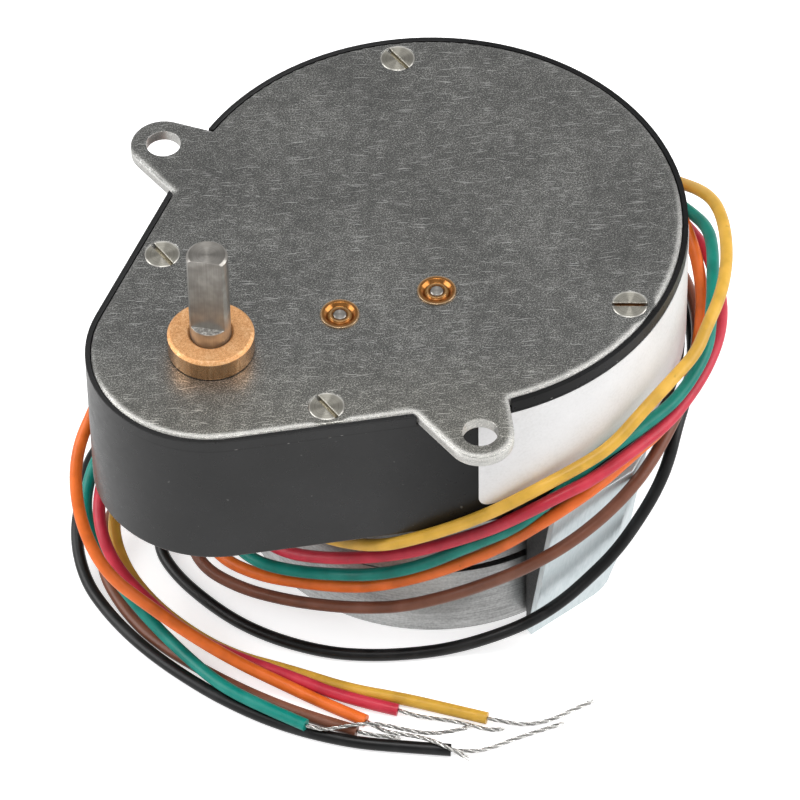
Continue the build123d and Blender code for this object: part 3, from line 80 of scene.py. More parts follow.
# Routes of the six leads, from the outlet round the motor to the stripped end
LEADS = {
    "yellow": [
        (0.0248, 0.0281, -0.0425), (0.0207, 0.0265, -0.0425), (0.0154, 0.0212, -0.041),
        (0.0111, 0.0157, -0.0396), (0.0079, 0.0088, -0.0382), (0.0062, 0.0012, -0.037),
        (0.0065, -0.0073, -0.036), (0.008, -0.016, -0.034), (0.0096, -0.0259, -0.028),
        (0.0144, -0.0302, -0.0255), (0.0199, -0.0334, -0.0236), (0.0241, -0.0359, -0.0214),
        (0.0285, -0.0383, -0.0187), (0.0367, -0.0403, -0.0167), (0.042, -0.0409, -0.0156),
        (0.0485, -0.0402, -0.013), (0.0547, -0.0391, -0.0118), (0.0607, -0.0376, -0.0114),
        (0.0648, -0.0351, -0.0107), (0.0701, -0.032, -0.0104), (0.0749, -0.0279, -0.0105),
        (0.0786, -0.0236, -0.0107), (0.0815, -0.0193, -0.0112), (0.0835, -0.0151, -0.0122),
        (0.0847, -0.0106, -0.0143), (0.0852, -0.0055, -0.0172), (0.0855, 0.0008, -0.0206),
        (0.085, 0.0078, -0.024), (0.0827, 0.0161, -0.0272), (0.0776, 0.0249, -0.0305),
        (0.07, 0.0325, -0.0335), (0.0609, 0.038, -0.036), (0.0509, 0.041, -0.038),
        (0.0407, 0.0418, -0.0395), (0.0307, 0.0401, -0.0407), (0.0228, 0.0367, -0.0418),
        (0.014, 0.03, -0.0428), (0.0055, 0.0252, -0.0438), (-0.0025, 0.02, -0.0446),
        (-0.0084, 0.016, -0.0452), (-0.011, 0.0117, -0.0468), (-0.0113, 0.0073, -0.0505),
        (-0.0087, 0.002, -0.0563), (-0.0054, -0.0078, -0.05805), (0.0001, -0.0166, -0.05805),
        (0.0044, -0.0246, -0.05805), (0.0098, -0.0315, -0.05805), (0.0135, -0.037, -0.05805),
        (0.017, -0.0422, -0.05805),
    ],
    "red": [
        (0.0239, 0.0303, -0.0425), (0.0198, 0.0287, -0.0425), (0.0137, 0.0226, -0.0431),
        (0.0094, 0.0166, -0.0436), (0.0065, 0.0092, -0.0442), (0.0055, 0.0012, -0.0447),
        (0.0064, -0.006, -0.0446), (0.0092, -0.0134, -0.0416), (0.0136, -0.0204, -0.0382),
        (0.0175, -0.0249, -0.0357), (0.0214, -0.0291, -0.0325), (0.0246, -0.0343, -0.0274),
        (0.028, -0.0387, -0.0221), (0.0329, -0.0402, -0.0206), (0.0378, -0.0411, -0.0202),
        (0.0457, -0.0409, -0.0196), (0.0536, -0.0399, -0.0198), (0.0602, -0.0374, -0.02),
        (0.065, -0.0354, -0.0193), (0.0699, -0.0324, -0.0186), (0.0742, -0.0281, -0.0185),
        (0.0779, -0.0223, -0.0191), (0.081, -0.0164, -0.0201), (0.083, -0.009, -0.0215),
        (0.0837, -0.0008, -0.0229), (0.0827, 0.0074, -0.0242), (0.0801, 0.0151, -0.0256),
        (0.0754, 0.0234, -0.027), (0.0683, 0.0307, -0.0285), (0.0599, 0.0362, -0.03),
        (0.0506, 0.0398, -0.0315), (0.0407, 0.041, -0.033), (0.0308, 0.0398, -0.0345),
        (0.0229, 0.0365, -0.036), (0.014, 0.0302, -0.0375), (0.0055, 0.0256, -0.039),
        (-0.0031, 0.0228, -0.0403), (-0.0087, 0.0187, -0.0414), (-0.0122, 0.0143, -0.0434),
        (-0.0134, 0.009, -0.0468), (-0.0119, 0.003, -0.0506), (-0.0097, -0.0038, -0.0537),
        (-0.006, -0.0095, -0.0563), (-0.0014, -0.0176, -0.057), (0.0026, -0.0257, -0.0576),
        (0.0077, -0.0325, -0.05805),
    ],
    "green": [
        (0.0248, 0.0281, -0.045), (0.0207, 0.0265, -0.045), (0.015, 0.0215, -0.0453),
        (0.0098, 0.0164, -0.0458), (0.0053, 0.0095, -0.0463), (0.0032, 0.0025, -0.0465),
        (0.0032, -0.0034, -0.0466), (0.0057, -0.0083, -0.0462), (0.0096, -0.0134, -0.0455),
        (0.0135, -0.0205, -0.0422), (0.0183, -0.0258, -0.0387), (0.0229, -0.0308, -0.0332),
        (0.0268, -0.0363, -0.0273), (0.0313, -0.0381, -0.0238), (0.0355, -0.0387, -0.0215),
        (0.0395, -0.0392, -0.0187), (0.0445, -0.0395, -0.0181), (0.051, -0.0391, -0.018),
        (0.0558, -0.0385, -0.0179), (0.0607, -0.0371, -0.017), (0.0656, -0.0347, -0.016),
        (0.0689, -0.0314, -0.0152), (0.0721, -0.0281, -0.0149), (0.075, -0.0248, -0.0148),
        (0.0784, -0.0209, -0.0151), (0.0816, -0.0162, -0.0161), (0.0829, -0.0107, -0.0179),
        (0.0833, -0.0037, -0.0196), (0.0827, 0.0029, -0.0208), (0.081, 0.01, -0.0218),
        (0.0776, 0.018, -0.0228), (0.0718, 0.0261, -0.0241), (0.0644, 0.0327, -0.0253),
        (0.0558, 0.0374, -0.0265), (0.0463, 0.0399, -0.0278), (0.0365, 0.0401, -0.0292),
        (0.0276, 0.038, -0.0306), (0.0204, 0.0352, -0.032), (0.0115, 0.0289, -0.034),
        (0.004, 0.0254, -0.036), (-0.0033, 0.0236, -0.0381), (-0.0088, 0.0213, -0.0406),
        (-0.0122, 0.018, -0.0446), (-0.0128, 0.0129, -0.0498), (-0.0123, 0.0076, -0.053),
        (-0.0118, 0.0015, -0.0552), (-0.0114, -0.0046, -0.0561), (-0.0109, -0.0132, -0.0561),
        (-0.0083, -0.021, -0.0561), (-0.0057, -0.0273, -0.0561),
    ],
    "orange": [
        (0.0239, 0.0303, -0.045), (0.0198, 0.0287, -0.045), (0.013, 0.0233, -0.0465),
        (0.0073, 0.0177, -0.0479), (0.0027, 0.0102, -0.0492), (0.0014, 0.0027, -0.05),
        (0.0035, -0.0039, -0.0497), (0.0069, -0.0097, -0.0487), (0.0106, -0.0153, -0.0474),
        (0.0137, -0.0202, -0.0451), (0.0186, -0.0254, -0.0417), (0.0229, -0.0299, -0.0376),
        (0.0261, -0.0341, -0.0329), (0.0294, -0.0384, -0.0268), (0.0348, -0.0401, -0.0242),
        (0.0403, -0.0401, -0.0236), (0.0472, -0.0391, -0.0231), (0.054, -0.0377, -0.0237),
        (0.061, -0.0349, -0.0237), (0.0662, -0.0311, -0.0232), (0.0705, -0.0273, -0.0222),
        (0.0742, -0.0235, -0.0213), (0.077, -0.0197, -0.0202), (0.0792, -0.0155, -0.0187),
        (0.0809, -0.0104, -0.0168), (0.0815, -0.0043, -0.0149), (0.0812, 0.0021, -0.0136),
        (0.08, 0.0091, -0.0129), (0.077, 0.0169, -0.0126), (0.0718, 0.0252, -0.0126),
        (0.0648, 0.0319, -0.0127), (0.0563, 0.0368, -0.0129), (0.047, 0.0395, -0.0132),
        (0.0372, 0.0398, -0.0137), (0.0283, 0.038, -0.0145), (0.0213, 0.0351, -0.0156),
        (0.0135, 0.0309, -0.0168), (0.0055, 0.0264, -0.0182), (-0.002, 0.0223, -0.0199),
        (-0.0086, 0.0183, -0.0223), (-0.0136, 0.0163, -0.0258), (-0.0168, 0.0132, -0.0304),
        (-0.0186, 0.0088, -0.0354), (-0.0182, 0.004, -0.0408), (-0.0143, -0.0003, -0.0467),
        (-0.0107, -0.0064, -0.051), (-0.0069, -0.0122, -0.0546), (-0.003, -0.0188, -0.0568),
        (0.0001, -0.0251, -0.058), (0.0027, -0.0311, -0.05805),
    ],
    "brown": [
        (0.0248, 0.0281, -0.0475), (0.0207, 0.0265, -0.0475), (0.0141, 0.0223, -0.0494),
        (0.0077, 0.0176, -0.0513), (0.0024, 0.0117, -0.0532), (0.0002, 0.0058, -0.0541),
        (0.0023, -0.0013, -0.0543), (0.0056, -0.0078, -0.0535), (0.009, -0.0133, -0.0524),
        (0.0123, -0.0184, -0.0508), (0.0162, -0.0236, -0.0486), (0.0214, -0.0287, -0.0452),
        (0.0252, -0.0336, -0.0404), (0.0286, -0.0381, -0.0354), (0.0348, -0.0398, -0.0333),
        (0.0415, -0.0401, -0.0315), (0.0475, -0.0395, -0.0297), (0.052, -0.0382, -0.0285),
        (0.0562, -0.0365, -0.0273), (0.0615, -0.0338, -0.0265), (0.0673, -0.0297, -0.0262),
        (0.073, -0.0244, -0.026), (0.0772, -0.0178, -0.026), (0.0801, -0.0098, -0.0263),
        (0.0811, -0.0014, -0.0271), (0.0802, 0.007, -0.0285), (0.0775, 0.0149, -0.0304),
        (0.0728, 0.0225, -0.0329), (0.0661, 0.0292, -0.0358), (0.0581, 0.0342, -0.0387),
        (0.0493, 0.0374, -0.0414), (0.04, 0.0384, -0.0438), (0.0308, 0.0371, -0.046),
        (0.0231, 0.0346, -0.048), (0.015, 0.0318, -0.05), (0.007, 0.0282, -0.052),
        (-0.001, 0.0246, -0.0539), (-0.007, 0.0214, -0.0554), (-0.0106, 0.0165, -0.057),
        (-0.0119, 0.0106, -0.0579), (-0.0124, 0.0048, -0.05805), (-0.0119, -0.0007, -0.05805),
        (-0.0106, -0.0062, -0.05805), (-0.0088, -0.0123, -0.05805), (-0.0066, -0.0183, -0.05805),
        (-0.0034, -0.0252, -0.05805), (0.0004, -0.0318, -0.05805),
    ],
    "black": [
        (0.0239, 0.0303, -0.0475), (0.0198, 0.0287, -0.0475), (0.0145, 0.0259, -0.0499),
        (0.0083, 0.0229, -0.053), (0.0031, 0.0197, -0.0558), (-0.0008, 0.0154, -0.0577),
        (-0.0018, 0.0097, -0.05805), (-0.0015, 0.0029, -0.05805), (-0.0003, -0.004, -0.05805),
        (0.0023, -0.0105, -0.05805), (0.0064, -0.017, -0.05805), (0.0113, -0.0218, -0.05805),
        (0.0168, -0.0257, -0.05805), (0.0215, -0.0284, -0.0579), (0.0257, -0.0319, -0.0555),
        (0.0299, -0.0361, -0.0513), (0.0354, -0.0373, -0.0495), (0.0406, -0.0373, -0.048),
        (0.0459, -0.0376, -0.0452), (0.0506, -0.0375, -0.041), (0.0542, -0.0372, -0.0371),
        (0.0571, -0.0363, -0.0336), (0.0601, -0.0343, -0.0308), (0.0641, -0.0315, -0.0298),
        (0.0691, -0.0275, -0.0295), (0.0742, -0.0217, -0.0294), (0.0784, -0.0145, -0.0295),
        (0.0805, -0.0056, -0.03), (0.0803, 0.0035, -0.0313), (0.078, 0.0121, -0.0334),
        (0.0738, 0.0199, -0.0361), (0.068, 0.0264, -0.039), (0.0607, 0.032, -0.042),
        (0.0523, 0.0358, -0.0448), (0.0433, 0.0377, -0.0472), (0.034, 0.0377, -0.0493),
        (0.026, 0.0363, -0.051), (0.0178, 0.0359, -0.0519), (0.0088, 0.0352, -0.0521),
        (0.0002, 0.0335, -0.0521), (-0.0053, 0.0286, -0.0535), (-0.0102, 0.024, -0.0559),
        (-0.0133, 0.0175, -0.0578), (-0.0144, 0.0104, -0.05805), (-0.0145, 0.0028, -0.05805),
        (-0.0135, -0.0051, -0.05805), (-0.0113, -0.0145, -0.05805), (-0.0075, -0.024, -0.05805),
        (-0.0017, -0.0328, -0.05805), (0.004, -0.0386, -0.05805), (0.009, -0.0435, -0.05805),
    ],
}

# The bare conductor that follows on from each lead's end
STRANDS = {
    "yellow": [
        (0.017, -0.0422, -0.05805), (0.0186, -0.0444, -0.0581), (0.0209, -0.0466, -0.0585),
        (0.0243, -0.0482, -0.0586), (0.0282, -0.0487, -0.0586), (0.0322, -0.0494, -0.0586),
    ],
    "red": [
        (0.0077, -0.0325, -0.05805), (0.0088, -0.0347, -0.0581), (0.0108, -0.0366, -0.0585),
        (0.0129, -0.0389, -0.0586), (0.0147, -0.0415, -0.0586), (0.0161, -0.044, -0.0586),
        (0.0182, -0.0452, -0.0586),
    ],
    "green": [
        (-0.0057, -0.0273, -0.0561), (-0.0046, -0.0293, -0.0563), (-0.002, -0.0306, -0.0564),
        (0.0009, -0.0319, -0.0566), (0.0034, -0.0336, -0.0569), (0.0058, -0.036, -0.0578),
        (0.008, -0.0388, -0.0579), (0.0107, -0.0412, -0.0574), (0.0142, -0.0425, -0.0574),
    ],
    "orange": [
        (0.0027, -0.0311, -0.05805), (0.0033, -0.0337, -0.0583), (0.0052, -0.0363, -0.0582),
        (0.0065, -0.0391, -0.0572), (0.0076, -0.0421, -0.0565), (0.0086, -0.0449, -0.0566),
        (0.0098, -0.0471, -0.0576),
    ],
    "brown": [
        (0.0004, -0.0318, -0.05805), (0.0016, -0.0334, -0.0583), (0.0035, -0.0351, -0.0586),
        (0.0049, -0.0367, -0.0586),
    ],
    "black": [
        (0.009, -0.0435, -0.05805), (0.011, -0.0456, -0.0581), (0.0139, -0.0467, -0.0585),
        (0.0175, -0.0474, -0.0586), (0.0216, -0.0486, -0.0586), (0.0257, -0.0499, -0.0586),
    ],
}


def fill(tree, socket, value):
    """Links a socket, or sets it to a number, a direction or a colour."""
    if isinstance(value, bpy.types.NodeSocket):
        tree.links.new(value, socket)
    elif socket.type == "RGBA":
        socket.default_value = (*value, 1)
    else:
        socket.default_value = value


def make(tree, kind, sockets=None, **settings):
    """A node with its settings made and its sockets filled or linked."""
    made = tree.nodes.new(kind)
    for key, value in settings.items():
        setattr(made, key, value)
    for key, value in (sockets or {}).items():
        fill(tree, made.inputs[key], value)
    return made


def ramp(tree, value, *stops):
    """A curve through (value, grey or colour) stops, with values from nought to one."""
    made = make(tree, "ShaderNodeValToRGB", {"Fac": value})
    points = made.color_ramp.elements
    while len(points) < len(stops):
        points.new(0.5)
    for point, (where, colour) in zip(points, stops):
        point.position = where
        point.color = (*colour, 1) if isinstance(colour, tuple) else (colour, colour, colour, 1)
    return made.outputs["Color"]


def mix(tree, share, a, b, blend="MIX"):
    """Two colours or directions mixed, the second by its share."""
    sockets = {0: share, 6: a, 7: b}
    return make(tree, "ShaderNodeMix", sockets, data_type="RGBA", blend_type=blend).outputs[2]


class Surface:
    """A procedural material, measured in metres in the part's own frame."""

    def __init__(self, name, **values):
        self.mat = bpy.data.materials.new(name)
        self.mat.use_nodes = True
        self.tree = self.mat.node_tree
        self.shader = self.tree.nodes["Principled BSDF"]
        self.place = make(self.tree, "ShaderNodeTexCoord").outputs["Object"]
        for key, value in values.items():
            self.put(key, value)

    def put(self, key, value):
        """Sets one of the shader's sockets, or links to it."""
        fill(self.tree, self.shader.inputs[key], value)

    def ramp(self, value, *stops):
        return ramp(self.tree, value, *stops)

    def mix(self, share, a, b, blend="MIX"):
        return mix(self.tree, share, a, b, blend)

    def sum(self, operation, a, b=0.0, c=0.0):
        made = make(self.tree, "ShaderNodeMath", {0: a, 1: b, 2: c}, operation=operation)
        return made.outputs["Value"]

    def vector(self, operation, a, b=(0, 0, 0)):
        made = make(self.tree, "ShaderNodeVectorMath", {0: a, 1: b}, operation=operation)
        single = operation in ("DISTANCE", "LENGTH", "DOT_PRODUCT")
        return made.outputs["Value" if single else "Vector"]

    def split(self, at=None):
        return make(self.tree, "ShaderNodeSeparateXYZ", {"Vector": at or self.place}).outputs

    def joined(self, **parts):
        return make(self.tree, "ShaderNodeCombineXYZ", parts).outputs["Vector"]

    def blend(self, *parts):
        """Values added up by their shares."""
        (value, share), *rest = reversed(parts)
        total = self.sum("MULTIPLY", value, share)
        for value, share in rest:
            total = self.sum("MULTIPLY_ADD", value, share, total)
        return total

    def reach(self, distance, span, *stops):
        """A curve through (metres, grey or colour) stops that lie between nought and a span."""
        shares = [(where / span, colour) for where, colour in stops]
        return self.ramp(self.sum("MULTIPLY", distance, 1 / span), *shares)

    def near(self, centre):
        """One close to a point, nought elsewhere."""
        return self.sum("LESS_THAN", self.vector("DISTANCE", self.place, centre), HEAD_REACH)

    def upward(self):
        """How far a face looks up: one on a level top, nought on an upright side."""
        return self.split(make(self.tree, "ShaderNodeTexCoord").outputs["Normal"])[2]

    def noise(self, scale, detail=2.0, rough=0.5, at=None):
        sockets = {"Vector": at or self.place, "Scale": scale, "Detail": detail, "Roughness": rough}
        return make(self.tree, "ShaderNodeTexNoise", sockets).outputs["Fac"]

    def drawn(self, scales, detail=2.0, rough=0.5, at=None):
        """Noise with a scale of its own along each axis."""
        return self.noise(1.0, detail, rough, self.vector("MULTIPLY", at or self.place, scales))

    def rings(self, out, scale):
        """Noise that changes only with the distance from an axis."""
        return self.noise(scale, 1.0, at=self.joined(X=out))

    def streaks(self, turn, length, width, detail=1.0, shift=0.0):
        """Noise drawn out along a direction in the plane of the plate."""
        sockets = {
            "Vector": self.place,
            "Location": (shift, shift, 0),
            "Rotation": (0, 0, turn),
            "Scale": (length, width, width),
        }
        laid = make(self.tree, "ShaderNodeMapping", sockets, vector_type="TEXTURE")
        return self.noise(1.0, detail, at=laid.outputs["Vector"])

    def wrapped(self, centre, radius):
        """Place measured round an upright axis: arc length, height, distance from the axis."""
        x, y, z = self.split(self.vector("SUBTRACT", self.place, centre))
        turn = self.sum("ARCTAN2", x, self.sum("MULTIPLY", y, -1.0))
        out = self.sum("SQRT", self.sum("MULTIPLY_ADD", x, x, self.sum("MULTIPLY", y, y)))
        return self.joined(X=self.sum("MULTIPLY", turn, radius), Y=z, Z=out)

    def turned(self, *centres):
        """Direction out from the nearest of some upright axes, and the distance from it."""
        about = self.vector("SUBTRACT", self.place, centres[0])
        for centre in centres[1:]:
            here = self.vector("SUBTRACT", self.place, centre)
            sockets = {0: self.near(centre), 4: about, 5: here}
            about = make(self.tree, "ShaderNodeMix", sockets, data_type="VECTOR").outputs[1]
        about = self.vector("MULTIPLY", about, (1, 1, 0))
        return self.world(about), self.vector("LENGTH", about)

    def world(self, along):
        """A direction in the part's frame turned into the world's."""
        made = make(
            self.tree, "ShaderNodeVectorTransform", {"Vector": self.vector("NORMALIZE", along)},
            vector_type="VECTOR", convert_from="OBJECT", convert_to="WORLD",
        )
        return made.outputs["Vector"]

    def bump(self, height, distance, strength=1.0, normal=None):
        sockets = {"Height": height, "Distance": distance, "Strength": strength}
        if normal:
            sockets["Normal"] = normal
        return make(self.tree, "ShaderNodeBump", sockets).outputs["Normal"]

    def rounded(self, radius):
        """Shading normal with the sharp edges eased by a small radius."""
        return make(self.tree, "ShaderNodeBevel", {"Radius": radius}, samples=4).outputs["Normal"]

    def edge(self, radius):
        """One on the eased edges, nought on the flats."""
        face = make(self.tree, "ShaderNodeNewGeometry").outputs["Normal"]
        along = self.vector("DOT_PRODUCT", self.rounded(radius), face)
        return self.ramp(along, (0.90, 1.0), (0.99, 0.0))


def dress(surface, *names):
    """Gives CAD nodes one material."""
    for name in names:
        nodes[name].data.materials.clear()
        nodes[name].data.materials.append(surface.mat)


# Tumbled steel of the top plate: fine speckle, short scratches mostly one way
plate = Surface("plate_steel_look", Metallic=1.0)
hair = plate.streaks(SCRATCH_TURN, 0.0006, 0.0002, 2.0)
tone = plate.blend((hair, 0.12), (plate.noise(4800, 4.0, 0.75), 0.88))
for scale, share in ((55, 0.1), (480, 0.12)):
    cloud = plate.sum("SUBTRACT", plate.noise(scale, 2.0), 0.5)
    tone = plate.sum("MULTIPLY_ADD", cloud, share, tone)
steel = plate.ramp(
    tone,
    (0.40, (0.106, 0.107, 0.104)), (0.52, (0.195, 0.195, 0.188)), (0.65, (0.70, 0.70, 0.665)),
)
worn = 0.0
for turn, length, width, shift, start, strength in (
    (0.0, 0.0032, 0.00014, 0.0, 0.74, 0.9),
    (0.2, 0.0050, 0.00012, 0.31, 0.76, 0.8),
    (-0.3, 0.0018, 0.00013, 0.53, 0.75, 0.7),
):
    scratch = plate.streaks(SCRATCH_TURN + turn, length, width, 0.0, shift)
    scratch = plate.ramp(scratch, (start, 0.0), (start + 0.05, strength))
    worn = plate.sum("MAXIMUM", worn, scratch)
steel = plate.mix(worn, steel, (0.8, 0.8, 0.78))

# Painted light: the plate is paler and warmer towards its small end, where more light falls on it
painted_light_slope = plate.vector("DOT_PRODUCT", plate.place, TO_SMALL_END)
painted_light_slope = plate.ramp(painted_light_slope, (0.0, 0.0), (0.16, 0.5))
steel = plate.mix(painted_light_slope, steel, (1.6, 1.55, 1.42), "MULTIPLY")

# Its rolled outer edge has a painted highlight, near white where it faces the front and weaker on
# the far side, and its sheared faces are pale
apart = plate.vector("DISTANCE", plate.place, SHAFT)
for centre in (*SCREWS, *IDLERS, *LUGS):
    apart = plate.sum("MINIMUM", apart, plate.vector("DISTANCE", plate.place, centre))
outer = plate.reach(apart, 0.01, (0.0034, 0.0), (0.0040, 1.0))
rolled_r = 0.0017
front = plate.vector("DOT_PRODUCT", plate.rounded(rolled_r), FRONT)
front = plate.ramp(front, (0.03, 0.1), (0.18, 1.0))
far = plate.reach(plate.split()[1], 0.05, (0.02, 1.0), (0.03, 0.3))
edge_highlight_and_pale_sides = plate.edge(rolled_r)
for part in (outer, front, far):
    edge_highlight_and_pale_sides = plate.sum("MULTIPLY", edge_highlight_and_pale_sides, part)
sheared = plate.ramp(plate.sum("ABSOLUTE", plate.upward()), (0.2, 0.4), (0.5, 0.0))
edge_highlight_and_pale_sides = plate.sum("MAXIMUM", edge_highlight_and_pale_sides, sheared)
# The near white here is the painted highlight on the front edge, with the pale sheared faces
plate.put("Base Color", plate.mix(edge_highlight_and_pale_sides, steel, (0.97, 0.955, 0.91)))
plate.put("Roughness", plate.ramp(tone, (0.35, 0.44), (0.65, 0.36)))
plate.put("Metallic", plate.sum("MULTIPLY_ADD", edge_highlight_and_pale_sides, -0.8, 1.0))
eased = plate.mix(outer, plate.rounded(0.0003), plate.rounded(0.0013))
rough_rim = plate.sum("MULTIPLY_ADD", edge_highlight_and_pale_sides, -0.49, 0.5)
plate.put("Normal", plate.bump(tone, 0.00004, rough_rim, eased))
dress(plate, "top_plate")

# Satin black moulded housing, duller by the label, with a witness line 2 mm under its rim
housing = Surface("black_housing_look", IOR=1.46)
off_line = housing.sum("ABSOLUTE", housing.sum("ADD", housing.split()[2], 0.002))
line = housing.reach(off_line, 0.001, (0.00006, 1.0), (0.00016, 0.0))
fleck = housing.ramp(housing.streaks(SCRATCH_TURN, 0.0012, 0.0003), (0.70, 0.0), (0.74, 1.0))
fleck = housing.sum("MULTIPLY", line, fleck)
dust = housing.ramp(housing.noise(1500, 0.0), (0.86, 0.0), (0.89, 1.0))
body = housing.ramp(
    housing.noise(90, 3.0), (0.3, (0.008, 0.008, 0.008)), (0.7, (0.014, 0.014, 0.0145))
)
for share, colour in (
    (line, (0.002, 0.002, 0.002)), (fleck, (0.4, 0.39, 0.37)), (dust, (0.07, 0.07, 0.066)),
):
    body = housing.mix(share, body, colour)
housing.put("Base Color", body)
housing.put("Roughness", housing.ramp(housing.noise(700, 3.0), (0.3, 0.26), (0.7, 0.34)))
along = housing.vector("DOT_PRODUCT", housing.place, TO_LABEL)
housing.put("Specular IOR Level", housing.ramp(along, (0.46, 0.5), (0.78, 0.14)))
ripple = housing.bump(housing.noise(260, 2.0), 0.00004, 0.35, housing.rounded(0.00025))
housing.put("Normal", housing.bump(line, 0.0001, -0.5, ripple))
dress(housing, "gear_housing")

# Nickel screws with lathe marks round each head, residue in the slots and a painted highlight round
# each brim
screw = Surface("screw_nickel_look", Metallic=1.0, Anisotropic=0.95)
lathe, out = screw.turned(*SCREWS)
rings = screw.rings(out, 6000)
sunk = screw.reach(screw.split()[2], -0.001, (-0.0001, 0.0), (-0.0005, 1.0))
grime = screw.mix(screw.near(SCREWS[3]), (0.42, 0.385, 0.30), (0.30, 0.17, 0.08))
head = screw.ramp(rings, (0.3, (0.32, 0.305, 0.26)), (0.7, (0.52, 0.50, 0.44)))
# Painted highlight: a bright ring round the brim of each head
brim_highlight = screw.reach(out, 0.005, (0.002325, 0.0), (0.002475, 0.8))
head = screw.mix(brim_highlight, head, (0.9, 0.88, 0.82))
screw.put("Base Color", screw.mix(sunk, head, grime))
screw.put("Roughness", screw.ramp(rings, (0.3, 0.36), (0.7, 0.26)))
screw.put("Tangent", lathe)
screw.put("Normal", screw.bump(rings, 0.00001, 0.4, screw.rounded(0.0003)))
dress(screw, "plate_screws", "motor_screws")

# Sintered bronze of the bushes, matt on top and burnished round the side, where a darker copy of
# the colours is painted shade
bronze = Surface("bronze_look", Metallic=1.0)
pores = bronze.noise(6500, 2.0, 0.6)
wiped = bronze.drawn((2600, 120, 2600), 1.0, at=bronze.wrapped(SHAFT, BUSH_R))
tone = bronze.blend((pores, 0.55), (wiped, 0.3), (bronze.noise(420, 2.0), 0.15))
flat = bronze.ramp(bronze.upward(), (0.3, 0.0), (0.6, 1.0))
matt = bronze.ramp(
    tone, (0.36, (0.60, 0.29, 0.12)), (0.5, (0.80, 0.45, 0.205)), (0.64, (0.93, 0.64, 0.38))
)
# Painted shade: the side takes a darker copy of the top's colours
side = bronze.ramp(
    tone, (0.36, (0.44, 0.22, 0.10)), (0.5, (0.60, 0.34, 0.17)), (0.64, (0.76, 0.49, 0.29))
)
bronze.put("Base Color", bronze.mix(flat, side, matt))
polish = bronze.ramp(tone, (0.35, 0.30), (0.65, 0.20))
bronze.put("Roughness", bronze.sum("MULTIPLY_ADD", flat, 0.36, polish))
bronze.put("Normal", bronze.bump(pores, 0.00003, 0.6, bronze.rounded(0.0002)))
dress(bronze, "output_bush", "output_lower_bush", "front_motor_bearing", "rear_motor_bearing")

# Brass eyelets, turned, with a brown dish, a painted shadow round the pin and painted highlights on
# the collar and the outer rim
brass = Surface("eyelet_brass_look", Metallic=1.0, Anisotropic=0.5)
lathe, out = brass.turned(*IDLERS)
rings = brass.rings(out, 7000)
tarnish = brass.ramp(
    brass.blend((rings, 0.5), (brass.noise(900, 2.0), 0.5)),
    (0.36, (0.22, 0.085, 0.022)), (0.5, (0.36, 0.15, 0.04)), (0.64, (0.58, 0.29, 0.10)),
)
# Rings out from the pin: painted shadow, painted highlight on the collar, the brown dish, painted
# highlight on the outer rim
lit_and_shaded_rings = brass.reach(
    out, 0.004,
    (0.0012, (0.16, 0.07, 0.03)), (0.00134, (0.95, 0.64, 0.32)), (0.00152, (0.95, 0.62, 0.28)),
    (0.00168, (0.30, 0.12, 0.03)), (0.00256, (0.44, 0.19, 0.055)), (0.00276, (0.95, 0.76, 0.52)),
)
brass.put("Base Color", brass.mix(0.5, tarnish, lit_and_shaded_rings))
brass.put("Roughness", brass.ramp(rings, (0.3, 0.3), (0.7, 0.18)))
brass.put("Tangent", lathe)
brass.put("Normal", brass.bump(rings, 0.00001, 0.3, brass.rounded(0.00015)))
dress(brass, "idler_upper_bushes", "idler_lower_bushes")

# Ground steel of the shafts, turned on their ends, with a torn ledge under the flat
rod = Surface("shaft_steel_look", Metallic=1.0, Anisotropic=0.75)
lathe, out = rod.turned(SHAFT, *IDLERS, MOTOR)
top = rod.ramp(rod.upward(), (0.5, 0.0), (0.9, 1.0))
marks = rod.mix(top, rod.drawn((6500, 6500, 220)), rod.rings(out, 4200))
tone = rod.blend((marks, 0.25), (rod.noise(380, 2.0), 0.75))
polish = rod.ramp(tone, (0.35, 0.36), (0.65, 0.28))
rod.put("Roughness", rod.sum("MULTIPLY_ADD", top, 0.08, polish))
rod.put("Tangent", rod.mix(top, rod.world(rod.joined(Z=1.0)), lathe))
low = rod.vector("DISTANCE", rod.place, SHAFT)
ledge = rod.sum("MULTIPLY", top, rod.reach(low, 0.02, (0.012, 1.0), (0.014, 0.0)))
torn = rod.ramp(rod.noise(2600, 3.0), (0.42, (0.30, 0.29, 0.27)), (0.62, (0.72, 0.705, 0.67)))
skin = rod.ramp(
    tone, (0.34, (0.27, 0.257, 0.236)), (0.5, (0.34, 0.323, 0.298)), (0.66, (0.48, 0.46, 0.43))
)
rod.put("Base Color", rod.mix(ledge, skin, torn))
chatter = rod.bump(rod.noise(5200, 2.0), 0.00008, ledge, rod.rounded(0.00015))
rod.put("Normal", rod.bump(tone, 0.00001, 0.4, chatter))
dress(rod, "output_shaft", "idler_1_arbor", "idler_2_arbor", "rotor_shaft")

# Zinc on the motor can, brushed round it, with smudges
can = Surface("zinc_steel_look", Metallic=1.0)
round_can = can.wrapped(MOTOR, CAN_R)
brushed = can.drawn((160, 5200, 60), at=round_can)
smudge = can.drawn((90, 260, 60), 3.0, 0.6, at=round_can)
tone = can.blend((brushed, 0.35), (smudge, 0.35), (can.noise(2600, 2.0), 0.3))
zinc = can.ramp(
    tone, (0.36, (0.27, 0.27, 0.265)), (0.5, (0.41, 0.41, 0.405)), (0.64, (0.54, 0.54, 0.535))
)
can.put("Base Color", zinc)
can.put("Roughness", can.ramp(tone, (0.35, 0.5), (0.65, 0.38)))
can.put("Normal", can.bump(brushed, 0.00001, 0.4, can.rounded(0.0002)))
dress(can, "front_stator_cup", "rear_stator_cup", "motor_flange", "rear_end_plate")

